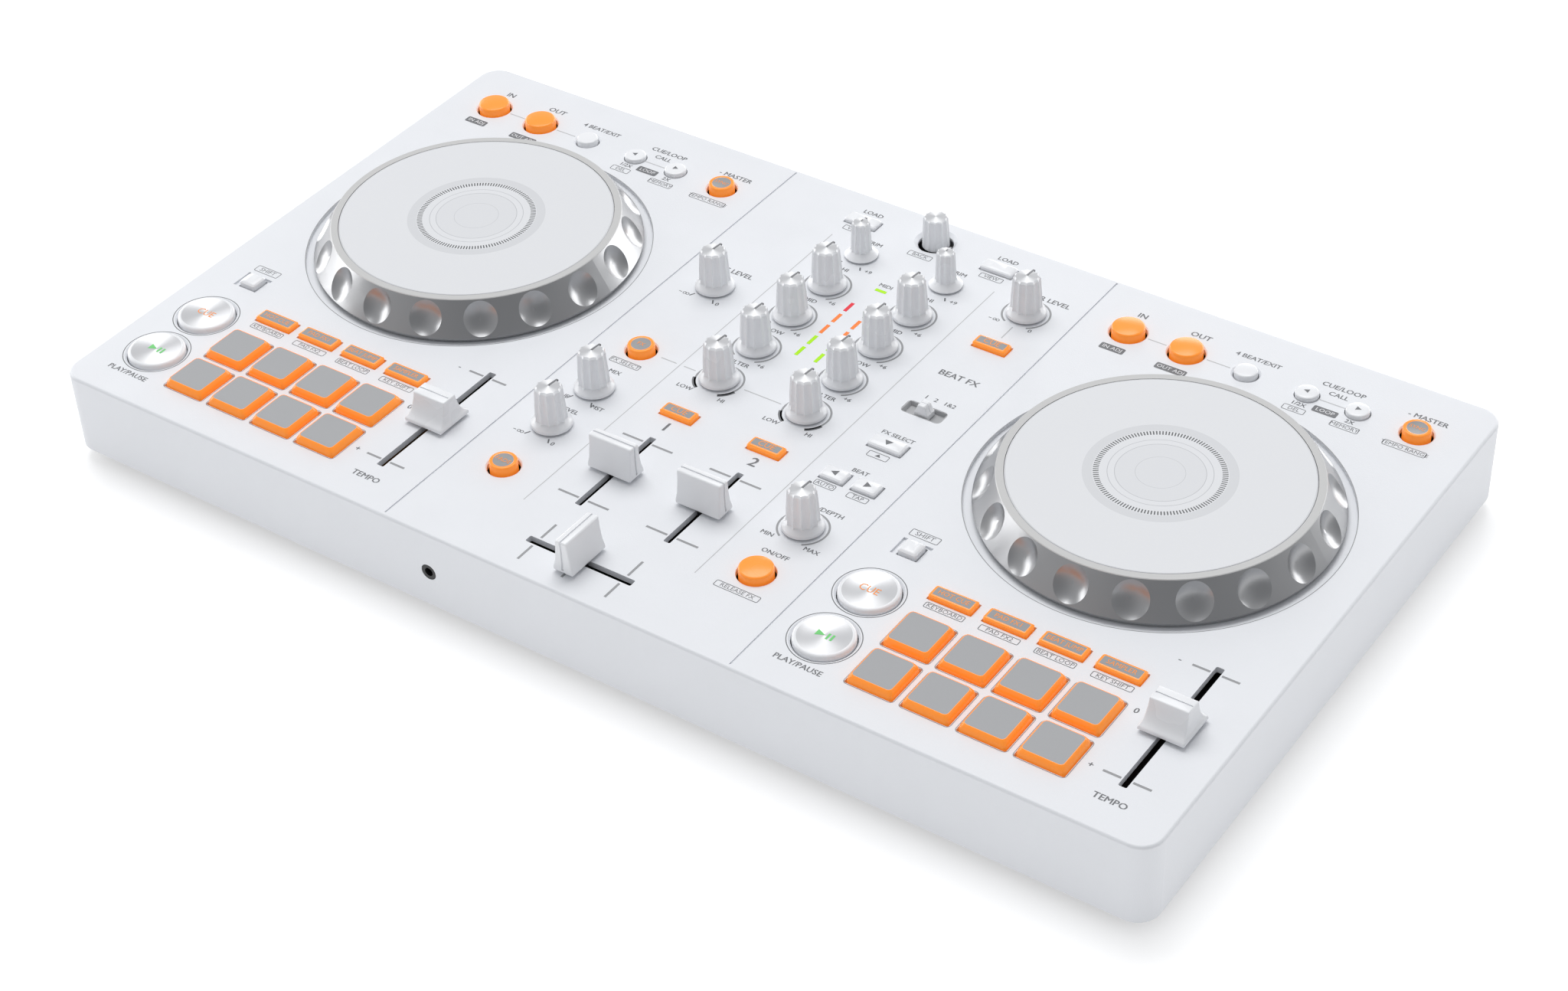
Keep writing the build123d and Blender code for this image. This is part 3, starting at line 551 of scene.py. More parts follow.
def fluted_knob(name, outline, flute_from, pointer):
    knob = turned(name, outline, KNOB_SIDES)
    keep_plan(knob)
    knob.data.materials.append(CAP_WHITE)
    edit(knob)
    step = 2 * pi / KNOB_SIDES
    for place, draw in FLUTE_DRAW.items():
        pick_verts(knob, lambda spot, index: spot.z > flute_from and spot.xy.length > 2
                   and round(spot.xy.angle_signed(Vector((1, 0))) % (2 * pi) / step) % FLUTE_SIDES == place)
        bpy.ops.transform.resize(value=(draw, draw, 1), center_override=(0, 0, 0))
    rim_h = outline[-2][1]
    pick_faces(knob, lambda spot, normal: spot.z > rim_h - 0.05 and normal.z > 0.5)
    paint(knob, KNOB_TOP)
    bpy.ops.object.mode_set(mode="OBJECT")
    smooth(knob, 24)
    if pointer:
        reach, width, top, rim = pointer
        half = reach / 2
        mark = stack("bar", (width, half, 0), [(width, half, 0.6), (width * 0.8, half - 0.1, 0.75)])
        mark.data.materials.append(POINTER_GREY)
        tilt = Matrix.Rotation(-(top - rim) / reach, 4, "X")
        up = (top + rim) / 2 - POINTER_SINK
        mark.data.transform(Matrix.Translation((0, half * MM, up * MM)) @ tilt)
        keep_plan(mark)
        knob = join([knob, mark], name)
    return knob


BIG_OUTLINE = [(3.0, -6.0), (3.0, 0.6), (7.6, 0.6), (7.95, 0.85), (8.0, 1.3), (7.9, 1.9), (7.5, 2.5),
               (6.95, 2.95), (6.6, 3.3), (6.35, 3.9), (6.2, 5.2), (6.05, 9.0), (5.45, 17.3), (4.75, 18.0),
               (0, 18.4)]
SMALL_OUTLINE = [(3.0, -6.0), (3.0, 0.6), (6.6, 0.6), (6.87, 0.8), (6.9, 1.2), (6.3, 1.75), (5.6, 2.2),
                 (4.9, 2.75), (4.4, 3.2), (4.2, 4.2), (4.15, 6.0), (4.05, 9.0), (3.7, 15.8), (3.25, 16.2),
                 (0, 16.5)]
BROWSE_OUTLINE = [(2.5, -6.0), (2.5, -2.0), (5.2, -2.0), (5.6, -1.6), (5.55, 1.0), (5.4, 4.0), (5.05, 11.4),
                  (4.6, 11.8), (0, 12.1)]
big_knob = fluted_knob("big_knob", BIG_OUTLINE, 3.6, (5.5, 0.5, 18.45, 17.9))
small_knob = fluted_knob("small_knob", SMALL_OUTLINE, 2.9, (4.0, 0.45, 16.5, 16.0))
browse_master = fluted_knob("browse_master", BROWSE_OUTLINE, 0.5, None)
print("big knob corners", len(big_knob.data.vertices))

# %% Put a knob on every shaft
KNOB_NODES = ("trim_", "hi_", "mid_", "low_", "filter_", "mic_", "headphones_", "master_level", "effect_")
for node in frame["nodes"]:
    if node.startswith(KNOB_NODES) and node in frame["bodies"]:
        x, y, _ = middle(node)
        master = small_knob if node.startswith("trim_") else big_knob
        stand_in(copy_to(master, f"{node}_cap", x, y), node)
x, y, _ = middle("browse_knob")
stand_in(copy_to(browse_master, "browse_knob_cap", x, y), "browse_knob")
drop(big_knob, small_knob, browse_master)
print("knobs placed")

# %% [markdown]
# ## Fader caps
# The level faders have a wedge-shaped slab across the slot, with a groove over the top and down both
# ends that shows the setting. The tempo faders are wider, with scooped flanks up to a narrow ridge.

# %% Model the level cap and the tempo cap
def cut_groove(cap, half, depth, end_only, low):
    """Two straight cuts along the middle, then the strip between them is pushed in."""
    edit(cap)
    for side in (-half, half):
        bpy.ops.mesh.select_all(action="SELECT")
        bpy.ops.mesh.bisect(plane_co=(0, side * MM, 0), plane_no=(0, 1, 0))
    pick_faces(cap, lambda spot, normal: abs(spot.y) < half and spot.z > low and normal.z > -0.5
               and abs(spot.x) < end_only)
    bpy.ops.mesh.extrude_region()
    bpy.ops.transform.shrink_fatten(value=-depth * MM)
    bpy.ops.object.mode_set(mode="OBJECT")


def round_edges(piece, width, segments, angle=40):
    start_fresh()
    bpy.context.view_layer.objects.active = piece
    piece.select_set(True)
    bevel = piece.modifiers.new("round", "BEVEL")
    bevel.width = width * MM
    bevel.segments = segments
    bevel.limit_method = "ANGLE"
    bevel.angle_limit = radians(angle)
    bpy.ops.object.modifier_apply(modifier="round")


def with_stem(cap, name):
    """Adds the black stem that goes down through the slot."""
    stem = stack("stem", (STEM_HALF_X, STEM_HALF_Y, STEM_LOW), [(STEM_HALF_X, STEM_HALF_Y, STEM_HIGH)])
    stem.data.materials.append(SLOT_FINISH["black_plastic"])
    return join([cap, stem], name)


STEM_HALF_X, STEM_HALF_Y = 0.9, 3.0
STEM_LOW, STEM_HIGH = -6.0, 1.2

level_cap = stack("level_cap", (9.85, 4.5, 1.0), [
    (9.85, 4.45, 2.2), (9.6, 3.7, 5.0), (9.55, 3.0, 10.0), (9.75, 2.5, 15.0)])
level_cap.data.materials.append(CAP_WHITE)
round_edges(level_cap, 0.75, 3)
cut_groove(level_cap, 0.45, 0.55, 20, 2.2)
smooth(level_cap, 35)
level_cap = with_stem(level_cap, "level_cap")
tempo_cap = stack("tempo_cap", (8.8, 8.5, 1.0), [
    (8.8, 8.5, 2.6), (8.3, 7.6, 3.1), (8.0, 6.2, 4.2), (7.8, 5.0, 6.0), (7.6, 4.2, 8.2), (7.45, 3.7, 10.5),
    (7.4, 3.5, 12.2)])
tempo_cap.data.materials.append(CAP_WHITE)
round_edges(tempo_cap, 0.5, 3, 34)
cut_groove(tempo_cap, 0.35, 0.4, 6.6, 12.0)
smooth(tempo_cap, 35)
tempo_cap = with_stem(tempo_cap, "tempo_cap")
print("level cap faces", len(level_cap.data.polygons), "tempo cap faces", len(tempo_cap.data.polygons))

# %% Put the caps on their slides
for node, cap, turn in (("channel_fader_1", level_cap, 0), ("channel_fader_2", level_cap, 0),
                        ("crossfader", level_cap, pi / 2), ("left_tempo_fader", tempo_cap, 0),
                        ("right_tempo_fader", tempo_cap, 0)):
    x, y, _ = middle(node)
    stand_in(copy_to(cap, f"{node}_cap", x, y, turn), node)
drop(level_cap, tempo_cap)
print("fader caps placed")

# %% [markdown]
# The channel selector is a small lever that slides in a dished grey tray. The tray is part of the case,
# and the lever moves.

# %% Selector tray and lever
x, y, _ = middle("channel_select")
tray = stack("channel_select_tray", (8.7, 3.75, -2.4), [
    (8.7, 3.75, -0.05), (8.3, 3.4, -0.06), (8.0, 3.2, -0.5), (7.5, 3.0, -1.8)])
tray.data.materials.append(TRAY_GREY)
smooth(tray, 35)
tray.data.transform(Matrix.Translation((x, y, PLATE)))
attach(tray, "case")
lever = stack("lever", (3.2, 2.5, -1.6), [
    (3.1, 2.5, 0.6), (2.6, 2.4, 1.2), (1.9, 2.3, 3.0), (1.6, 2.2, 3.9), (1.2, 2.1, 4.2)])
lever.data.materials.append(CAP_WHITE)
round_edges(lever, 0.4, 3)
cut_groove(lever, 0.12, 0.15, 6.0, 0.5)
smooth(lever, 35)
stand_in(copy_to(lever, "channel_select_lever", x, y), "channel_select")
drop(lever)
print("selector at", x, y)

# %% [markdown]
# ## Keys
# Block keys are orange blocks with a grey legend plate let into the top, or plain white ones. Round
# keys are gently domed. Keys that share one moulded strip are joined into one piece, as they are there.

# %% Model block keys and round keys
ORANGE = SLOT_FINISH["orange_key"]
KEY_FOOT = -4.2


def grow(scale_x, scale_y, up):
    """In edit mode, extrudes the selected top, scales the new ring and lifts it in millimetres."""
    bpy.ops.mesh.extrude_region()
    bpy.ops.transform.resize(value=(scale_x, scale_y, 1), center_override=(0, 0, 0))
    bpy.ops.transform.translate(value=(0, 0, up * MM))


def block_key(name, wide, deep, high, edge, wall, top=None, border=0.55, corner=0.9, crown=0.0):
    """A block with rounded corners, a sloped edge, and a legend plate let in when it has a top finish."""
    key = stack(name, (wide / 2, deep / 2, KEY_FOOT), [(wide / 2, deep / 2, high - edge)])
    key.data.materials.append(wall)
    edit(key)
    pick_edges(key, lambda a, b: abs(a.z - b.z) > 1)
    bpy.ops.mesh.bevel(offset=corner * MM, segments=3)
    pick_faces(key, lambda spot, normal: normal.z > 0.9)
    grow(1 - 1.4 * edge / wide, 1 - 1.4 * edge / deep, edge * 0.7)
    grow(1 - 0.8 * edge / wide, 1 - 0.8 * edge / deep, edge * 0.3)
    if crown:
        grow(0.45, 0.85, crown)
    if top:
        bpy.ops.mesh.inset(thickness=border * MM)
        paint(key, top)
    bpy.ops.object.mode_set(mode="OBJECT")
    smooth(key, 40)
    keep_plan(key)
    return key


def round_key(name, radius, high, edge, crown, wall, top=None, top_r=0.0):
    low = high - crown
    outline = [(radius, KEY_FOOT), (radius, low - edge)]
    outline += [(radius - a * edge, low - b * edge) for a, b in ((0.08, 0.62), (0.3, 0.3), (0.62, 0.08))]
    outline.append((radius - edge, low))
    flat = radius - edge
    if top:
        outline += [(top_r + 0.25, low + 0.02), (top_r, low - 0.12)]
    else:
        outline += [(flat * k, low + crown * (1 - k * k)) for k in (0.85, 0.65, 0.4, 0.15)]
    key = turned(name, outline, 64)
    key.data.materials.append(wall)
    keep_plan(key)
    edit(key)
    if top:
        pick_faces(key, lambda spot, normal: spot.xy.length < 0.2 and normal.z > 0.9)
        paint(key, top)
    bpy.ops.object.mode_set(mode="OBJECT")
    smooth(key, 40)
    return key


# %% [markdown]
# Lettering on the keys and on the plate is text set flat and turned into mesh, then lifted a hair above
# the surface. Only plain function words and numbers are used.

# %% Lettering and flat marks
LIFT = 0.03
CAP_SHARE = 0.64
HEAVY_SHIFT = (0.07, 0.035)


def word(text, x, y, cap, ink=INK_GREY, high=LIFT, squeeze=1.02, side="CENTER", heavy=True):
    """Flat text with its capitals this tall, in millimetres. Heavy grey text is doubled a little aside."""
    start_fresh()
    bpy.ops.object.text_add(location=(0, 0, 0))
    sign = bpy.context.object
    sign.data.body = text
    sign.data.size = cap / CAP_SHARE * MM
    sign.data.align_x = side
    sign.data.align_y = "CENTER"
    sign.data.resolution_u = 2
    bpy.ops.object.convert(target="MESH")
    sign = bpy.context.object
    if heavy and ink is INK_GREY:
        aside, up = (share * cap * MM for share in HEAVY_SHIFT)
        edit(sign)
        bpy.ops.mesh.select_all(action="SELECT")
        bpy.ops.mesh.duplicate()
        bpy.ops.transform.translate(value=(aside, up, 0.004 * MM))
        bpy.ops.object.mode_set(mode="OBJECT")
    sign.data.materials.clear()
    sign.data.materials.append(ink)
    place = Matrix.Translation((x * MM, y * MM, PLATE + high * MM))
    sign.data.transform(place @ Matrix.Diagonal((squeeze, 1, 1, 1)))
    return sign


def bar(x, y, wide, deep, ink=INK_GREY, high=LIFT):
    """A flat printed line or block."""
    start_fresh()
    bpy.ops.mesh.primitive_plane_add(size=1, location=(x * MM, y * MM, PLATE + high * MM))
    mark = bpy.context.object
    mark.scale = (wide * MM, deep * MM, 1)
    bpy.ops.object.transform_apply(location=True, rotation=True, scale=True)
    mark.data.materials.append(ink)
    return mark


FRAME_LINE = 0.3


def block(x, y, wide, deep, corner, ink=INK_GREY, filled=False):
    """A printed block with rounded corners, hollowed to a frame unless it is filled."""
    mark = bar(x, y, wide, deep, ink)
    edit(mark)
    bpy.ops.mesh.select_all(action="SELECT")
    bpy.ops.mesh.bevel(offset=corner * MM, segments=3, affect="VERTICES")
    if not filled:
        bpy.ops.mesh.select_all(action="SELECT")
        bpy.ops.mesh.inset(thickness=FRAME_LINE * MM)
        bpy.ops.mesh.delete(type="FACE")
    bpy.ops.object.mode_set(mode="OBJECT")
    return mark


def box_label(x, y, wide, deep, text, cap=1.75, filled=False):
    """A word in a printed frame, or in white on a solid block."""
    marks = [block(x, y, wide, deep, 0.7, INK_GREY, filled)]
    if text:
        ink = INK_WHITE if filled else INK_GREY
        marks.append(word(text, x, y, cap, ink, LIFT + 0.02 * filled, heavy=False))
    return marks


def ring_mark(x, y, radius, wide, gap=0.0, ink=INK_GREY, sides=72, top=None):
    """A flat ring round a control, open at the front by the gap in degrees, kept below a top line. Most are
    print; the ring at a jog wheel's dish is painted shade.
    """
    start_fresh()
    centre = (x * MM, y * MM, PLATE + LIFT * MM)
    bpy.ops.mesh.primitive_circle_add(vertices=sides, radius=radius * MM, location=centre)
    mark = bpy.context.object
    bpy.ops.object.transform_apply(location=True, rotation=True, scale=True)
    bpy.ops.object.mode_set(mode="EDIT")
    bpy.ops.mesh.select_all(action="SELECT")
    bpy.ops.mesh.extrude_edges_move()
    scale = (radius - wide) / radius
    bpy.ops.transform.resize(value=(scale, scale, 1), center_override=centre)
    if top is not None:
        pick_faces(mark, lambda spot, normal: spot.y > y + top)
        bpy.ops.mesh.delete(type="FACE")
    if gap:
        lean = sin(radians(gap / 2)) * radius
        pick_faces(mark, lambda spot, normal: spot.y < y and abs(spot.x - x) < lean)
        bpy.ops.mesh.delete(type="FACE")
    bpy.ops.mesh.select_all(action="SELECT")
    bpy.ops.mesh.normals_make_consistent(inside=False)
    bpy.ops.object.mode_set(mode="OBJECT")
    if mark.data.polygons and mark.data.polygons[0].normal.z < 0:
        mark.data.flip_normals()
    mark.data.materials.append(ink)
    return mark


def end_ticks(x, y, low_r, high_r, wide=0.6):
    """The two short strokes at the ends of a knob's travel."""
    marks = []
    for lean in (-150, 150):
        tick = bar(0, 0, wide, high_r - low_r)
        reach = (low_r + high_r) / 2
        tick.data.transform(Matrix.Translation((0, 0, -PLATE)))
        tick.data.transform(Matrix.Rotation(radians(lean), 4, "Z") @ Matrix.Translation((0, reach * MM, 0)))
        tick.data.transform(Matrix.Translation((x * MM, y * MM, PLATE)))
        marks.append(tick)
    return marks


def arrow(x, y, long, high_side, turn, ink=INK_GREY, high=LIFT):
    """A small solid triangle."""
    start_fresh()
    bpy.ops.mesh.primitive_circle_add(vertices=3, radius=MM, fill_type="NGON")
    mark = bpy.context.object
    place = Matrix.Translation((x * MM, y * MM, PLATE + high * MM)) @ Matrix.Rotation(radians(turn), 4, "Z")
    mark.data.transform(place @ Matrix.Diagonal((long / 1.73, high_side / 1.5, 1, 1)))
    mark.data.materials.append(ink)
    return mark


# %% [markdown]
# Each deck has the same keys, so every kind of key is modelled once and copied to both decks. Places are
# in millimetres from the middle of the deck across, and from the middle of the unit up the plate.

# %% Deck keys
DECK_X = 157.2
PAD_XS = [(i - 1.5) * 22.18 for i in range(4)]
PAD_YS = [-88.85, -111.2]
LOOP_Y, MODE_Y, SHIFT_Y, CUE_Y, PLAY_Y = 104.4, -66.3, -50.7, -77.8, -106.0
ROUND_X = -60.7
dome = round_key("dome", 6.6, 3.6, 0.8, 0.6, ORANGE)
call = round_key("call", 4.6, 2.1, 0.7, 0.25, CAP_WHITE)
mode = block_key("mode", 17.5, 6.5, 1.8, 0.5, ORANGE, LEGEND_GREY)
pad = stack("pad", (9.3, 9.3, KEY_FOOT), [
    (9.3, 9.3, 0.2), (9.08, 9.08, 1.45), (8.25, 8.25, 2.85), (8.1, 8.1, 2.98)])
pad.data.materials.append(ORANGE)
edit(pad)
pick_edges(pad, lambda a, b: abs(a.z - b.z) > 0.05 and abs(a.x) > 5 and abs(abs(a.x) - abs(a.y)) < 0.01)
bpy.ops.mesh.bevel(offset=1.5 * MM, segments=3)
pick_faces(pad, lambda spot, normal: normal.z > 0.9)
bpy.ops.mesh.inset(thickness=0.25 * MM)
paint(pad, SLOT_FINISH["pad_rubber"])
bpy.ops.object.mode_set(mode="OBJECT")
smooth(pad, 24)
keep_plan(pad)
sync = round_key("sync", 5.4, 3.0, 0.6, 0.0, ORANGE, LEGEND_GREY, 3.95)
spun_key = round_key("spun_key", 11.4, 1.6, 1.2, 0.0, CAP_WHITE, SLOT_FINISH["metal_key"], 9.8)
shift = block_key("shift", 7.8, 7.5, 1.8, 0.6, CAP_WHITE, None, 0.5, 1.0, 0.25)
KEY_TOP = {"mode": 1.83, "sync": 2.92, "spun": 1.52, "call": 2.14, "cue": 2.03, "fx": 1.83}

for side, deck in (("left", -DECK_X), ("right", DECK_X)):
    deck_m = deck * MM
    loops = [copy_to(dome, "key", deck_m + dx * MM, LOOP_Y * MM) for dx in (-60.65, -35.25)]
    loops += [copy_to(call, "key", deck_m + dx * MM, LOOP_Y * MM) for dx in (-9.75, 15.85, 36.75)]
    for dx, turn in ((15.85, 90), (36.75, -90)):
        loops.append(arrow(deck + dx, LOOP_Y, 2.3, 2.1, turn, INK_GREY, KEY_TOP["call"]))
    stand_in(join(loops, f"{side}_loop_key_caps"), f"{side}_loop_keys")
    caps = [copy_to(mode, "key", deck_m + dx * MM, MODE_Y * MM) for dx in PAD_XS]
    for dx, text in zip(PAD_XS, ("HOT CUE", "PAD FX1", "BEAT JUMP", "SAMPLER")):
        caps.append(word(text, deck + dx, MODE_Y, 2.0, INK_ORANGE, KEY_TOP["mode"], 0.93))
    stand_in(join(caps, f"{side}_mode_key_caps"), f"{side}_mode_keys")
    caps = [copy_to(pad, "key", deck_m + dx * MM, y * MM) for y in PAD_YS for dx in PAD_XS]
    stand_in(join(caps, f"{side}_pad_caps"), f"{side}_pads")
    caps = [copy_to(sync, "key", deck_m + 60.65 * MM, LOOP_Y * MM)]
    caps.append(word("SYNC", deck + 60.65, LOOP_Y, 1.7, INK_ORANGE, KEY_TOP["sync"], 0.95))
    stand_in(join(caps, f"{side}_sync_cap"), f"{side}_sync")
    caps = [copy_to(spun_key, "key", deck_m + ROUND_X * MM, CUE_Y * MM)]
    caps.append(word("CUE", deck + ROUND_X, CUE_Y, 3.1, INK_ORANGE, KEY_TOP["spun"], 0.9))
    stand_in(join(caps, f"{side}_cue_cap"), f"{side}_cue")
    caps = [copy_to(spun_key, "key", deck_m + ROUND_X * MM, PLAY_Y * MM)]
    caps.append(arrow(deck - 62.7, PLAY_Y, 3.2, 3.6, -90, INK_GREEN, KEY_TOP["spun"]))
    caps += [bar(deck + ROUND_X + dx, PLAY_Y, 0.9, 3.2, INK_GREEN, KEY_TOP["spun"]) for dx in (1.6, 3.3)]
    stand_in(join(caps, f"{side}_play_cap"), f"{side}_play")
    cap = copy_to(shift, f"{side}_shift_cap", deck_m - 60.65 * MM, SHIFT_Y * MM)
    stand_in(cap, f"{side}_shift")
print("deck keys placed")

# %% Mixer keys
load = block_key("load", 14.5, 6.3, 1.8, 0.5, CAP_WHITE, None, 0.5, 0.9, 0.25)
cue = block_key("cue", 14.5, 6.2, 2.0, 0.6, ORANGE, LEGEND_GREY)
fx_wide = block_key("fx_wide", 14.5, 7.0, 1.8, 0.6, CAP_WHITE)
fx_small = block_key("fx_small", 10.3, 7.0, 1.8, 0.6, CAP_WHITE)
fx_dome = round_key("fx_dome", 6.5, 3.6, 0.8, 0.6, ORANGE)
for node, x, y in (("channel_cue_1", -20, -30.6), ("channel_cue_2", 20, -30.6), ("master_cue", 57, 68.2)):
    cap = [copy_to(cue, "key", x * MM, y * MM), word("CUE", x, y, 2.5, INK_ORANGE, KEY_TOP["cue"], 1.0)]
    stand_in(join(cap, f"{node}_cap"), node)
for node, x, y, text in (("smart_effect", -57.1, -4.7, "FX"), ("smart_fader", -57.0, -90.1, "FADE")):
    cap = [copy_to(sync, "key", x * MM, y * MM), word(text, x, y, 1.8, INK_ORANGE, KEY_TOP["sync"])]
    stand_in(join(cap, f"{node}_cap"), node)
for node, x in (("load_1", -32.4), ("load_2", 32.4)):
    stand_in(copy_to(load, f"{node}_cap", x * MM, 113.9 * MM), node)
caps = [copy_to(fx_wide, "key", 57 * MM, -5 * MM), arrow(57, -4.8, 3.6, 2.6, 180, INK_GREY, KEY_TOP["fx"])]
for x, turn in ((50.3, 90), (64.2, -90)):
    caps.append(copy_to(fx_small, "key", x * MM, -30.1 * MM))
    caps.append(arrow(x, -30.1, 3.2, 2.8, turn, INK_GREY, KEY_TOP["fx"]))
stand_in(join(caps, "fx_key_caps"), "fx_keys")
stand_in(copy_to(fx_dome, "fx_on_cap", 57 * MM, -90.2 * MM), "fx_on")
drop(dome, call, mode, pad, sync, spun_key, shift, load, cue, fx_wide, fx_small, fx_dome)
print("mixer keys placed")

# %% [markdown]
# ## Printed markings, and a painted shade ring
# The plate is printed in grey: words over the controls, framed words for their second use, and lines
# that link controls. A thin grey ring at the step of each jog wheel's dish is painted shade, drawn the
# same way. Each is a thin flat mesh, so its edges stay crisp at any size. One deck is drawn
# and copied to the other side.

# %% Deck print and the painted shade ring
def deck_print_and_shade(deck):
    """The lines and words of one deck, and the painted shade ring at its jog wheel's dish, round the deck's
    middle.
    """
    marks = [word("IN", deck - 60.95, 116.4, 2.6), word("OUT", deck - 35.45, 116.4, 2.6)]
    marks.append(word("4 BEAT/EXIT", deck - 9.65, 114.3, 2.2))
    marks += [word("CUE/LOOP", deck + 26.15, 114.3, 2.3), word("CALL", deck + 26.15, 109.9, 2.15)]
    marks += [word("- MASTER", deck + 60.55, 114.3, 2.4)]
    for x, wide in ((-47.95, 8.0), (-21.45, 10.0), (26.4, 11.7)):
        marks.append(bar(deck + x, LOOP_Y, wide, 0.5, INK_LINE))
    marks += [word("1/2X", deck + 15.55, 97.7, 1.9), word("2X", deck + 36.55, 97.7, 1.9)]
    marks += box_label(deck + 26.15, 98.7, 10, 3.8, "LOOP", 1.8, True)
    marks += box_label(deck + 15.55, 94.0, 9.2, 3.4, "DEL")
    marks += box_label(deck + 36.35, 94.0, 11.6, 3.4, "MEMORY")
    marks += box_label(deck + 60.55, 94.0, 17.2, 3.4, "TEMPO RANGE")
    marks += box_label(deck - 60.65, 91.8, 10.5, 3.8, "IN ADJ", 1.8, True)
    marks += box_label(deck - 35.15, 91.6, 13.0, 3.8, "OUT ADJ", 1.8, True)
    marks += box_label(deck - 60.55, -41.9, 12.2, 3.9, "SHIFT", 2.0)
    for dx, text in zip(PAD_XS, ("KEYBOARD", "PAD FX2", "BEAT LOOP", "KEY SHIFT")):
        marks += box_label(deck + dx, -72.6, 16.1, 3.1, text)
    marks += [word("PLAY/PAUSE", deck - 60.95, -122.2, 2.3), word("TEMPO", deck + 60.55, -122.2, 2.5)]
    for y, text in ((-50.7, "-"), (-80.8, "0"), (-111.0, "+")):
        marks.append(word(text, deck + 47, y, 2.4))
    for y in (-50.7, -111.0):
        marks += [bar(deck + 60.7 + lean, y, 6.8, 1.0, INK_TICK_AND_SHADE) for lean in (-5.6, 5.6)]
    # A thin grey ring at the edge of the dish round the jog wheel: painted shade along the dish's step, not
    # print.
    marks.append(ring_mark(deck, 19.25, 70.95, 0.3, 0, INK_TICK_AND_SHADE, 160))
    for y in (CUE_Y, PLAY_Y):
        marks.append(ring_mark(deck + ROUND_X, y, 13.4, 0.35))
    for y in PAD_YS:
        for dx in PAD_XS:
            marks.append(block(deck + dx, y, 20.4, 20.4, 1.6, INK_TICK_AND_SHADE))
    return marks


right_print_and_shade = join(deck_print_and_shade(DECK_X), "right_deck_print_and_shade")
left_print_and_shade = copy_to(right_print_and_shade, "left_deck_print_and_shade", -2 * DECK_X * MM, 0, 0, 0)
print("deck print faces", len(right_print_and_shade.data.polygons))

# %% [markdown]
# A knob's scale is a ring or two end strokes, with its words beside it. The least level is marked with
# an endless sign, made from a short line and two small rings.

# %% Mixer print
SCALE_R, SCALE_LINE, SCALE_GAP = 9.9, 0.8, 60


def scale_ring(x, y):
    return ring_mark(x, y, SCALE_R, SCALE_LINE, SCALE_GAP, INK_TICK_AND_SHADE)


def endless_sign(x, y):
    rings = [ring_mark(x + dx, y, 0.8, 0.3, 0, INK_GREY, 12) for dx in (0, 1.4)]
    return [bar(x - 2.0, y, 1.3, 0.35), *rings]


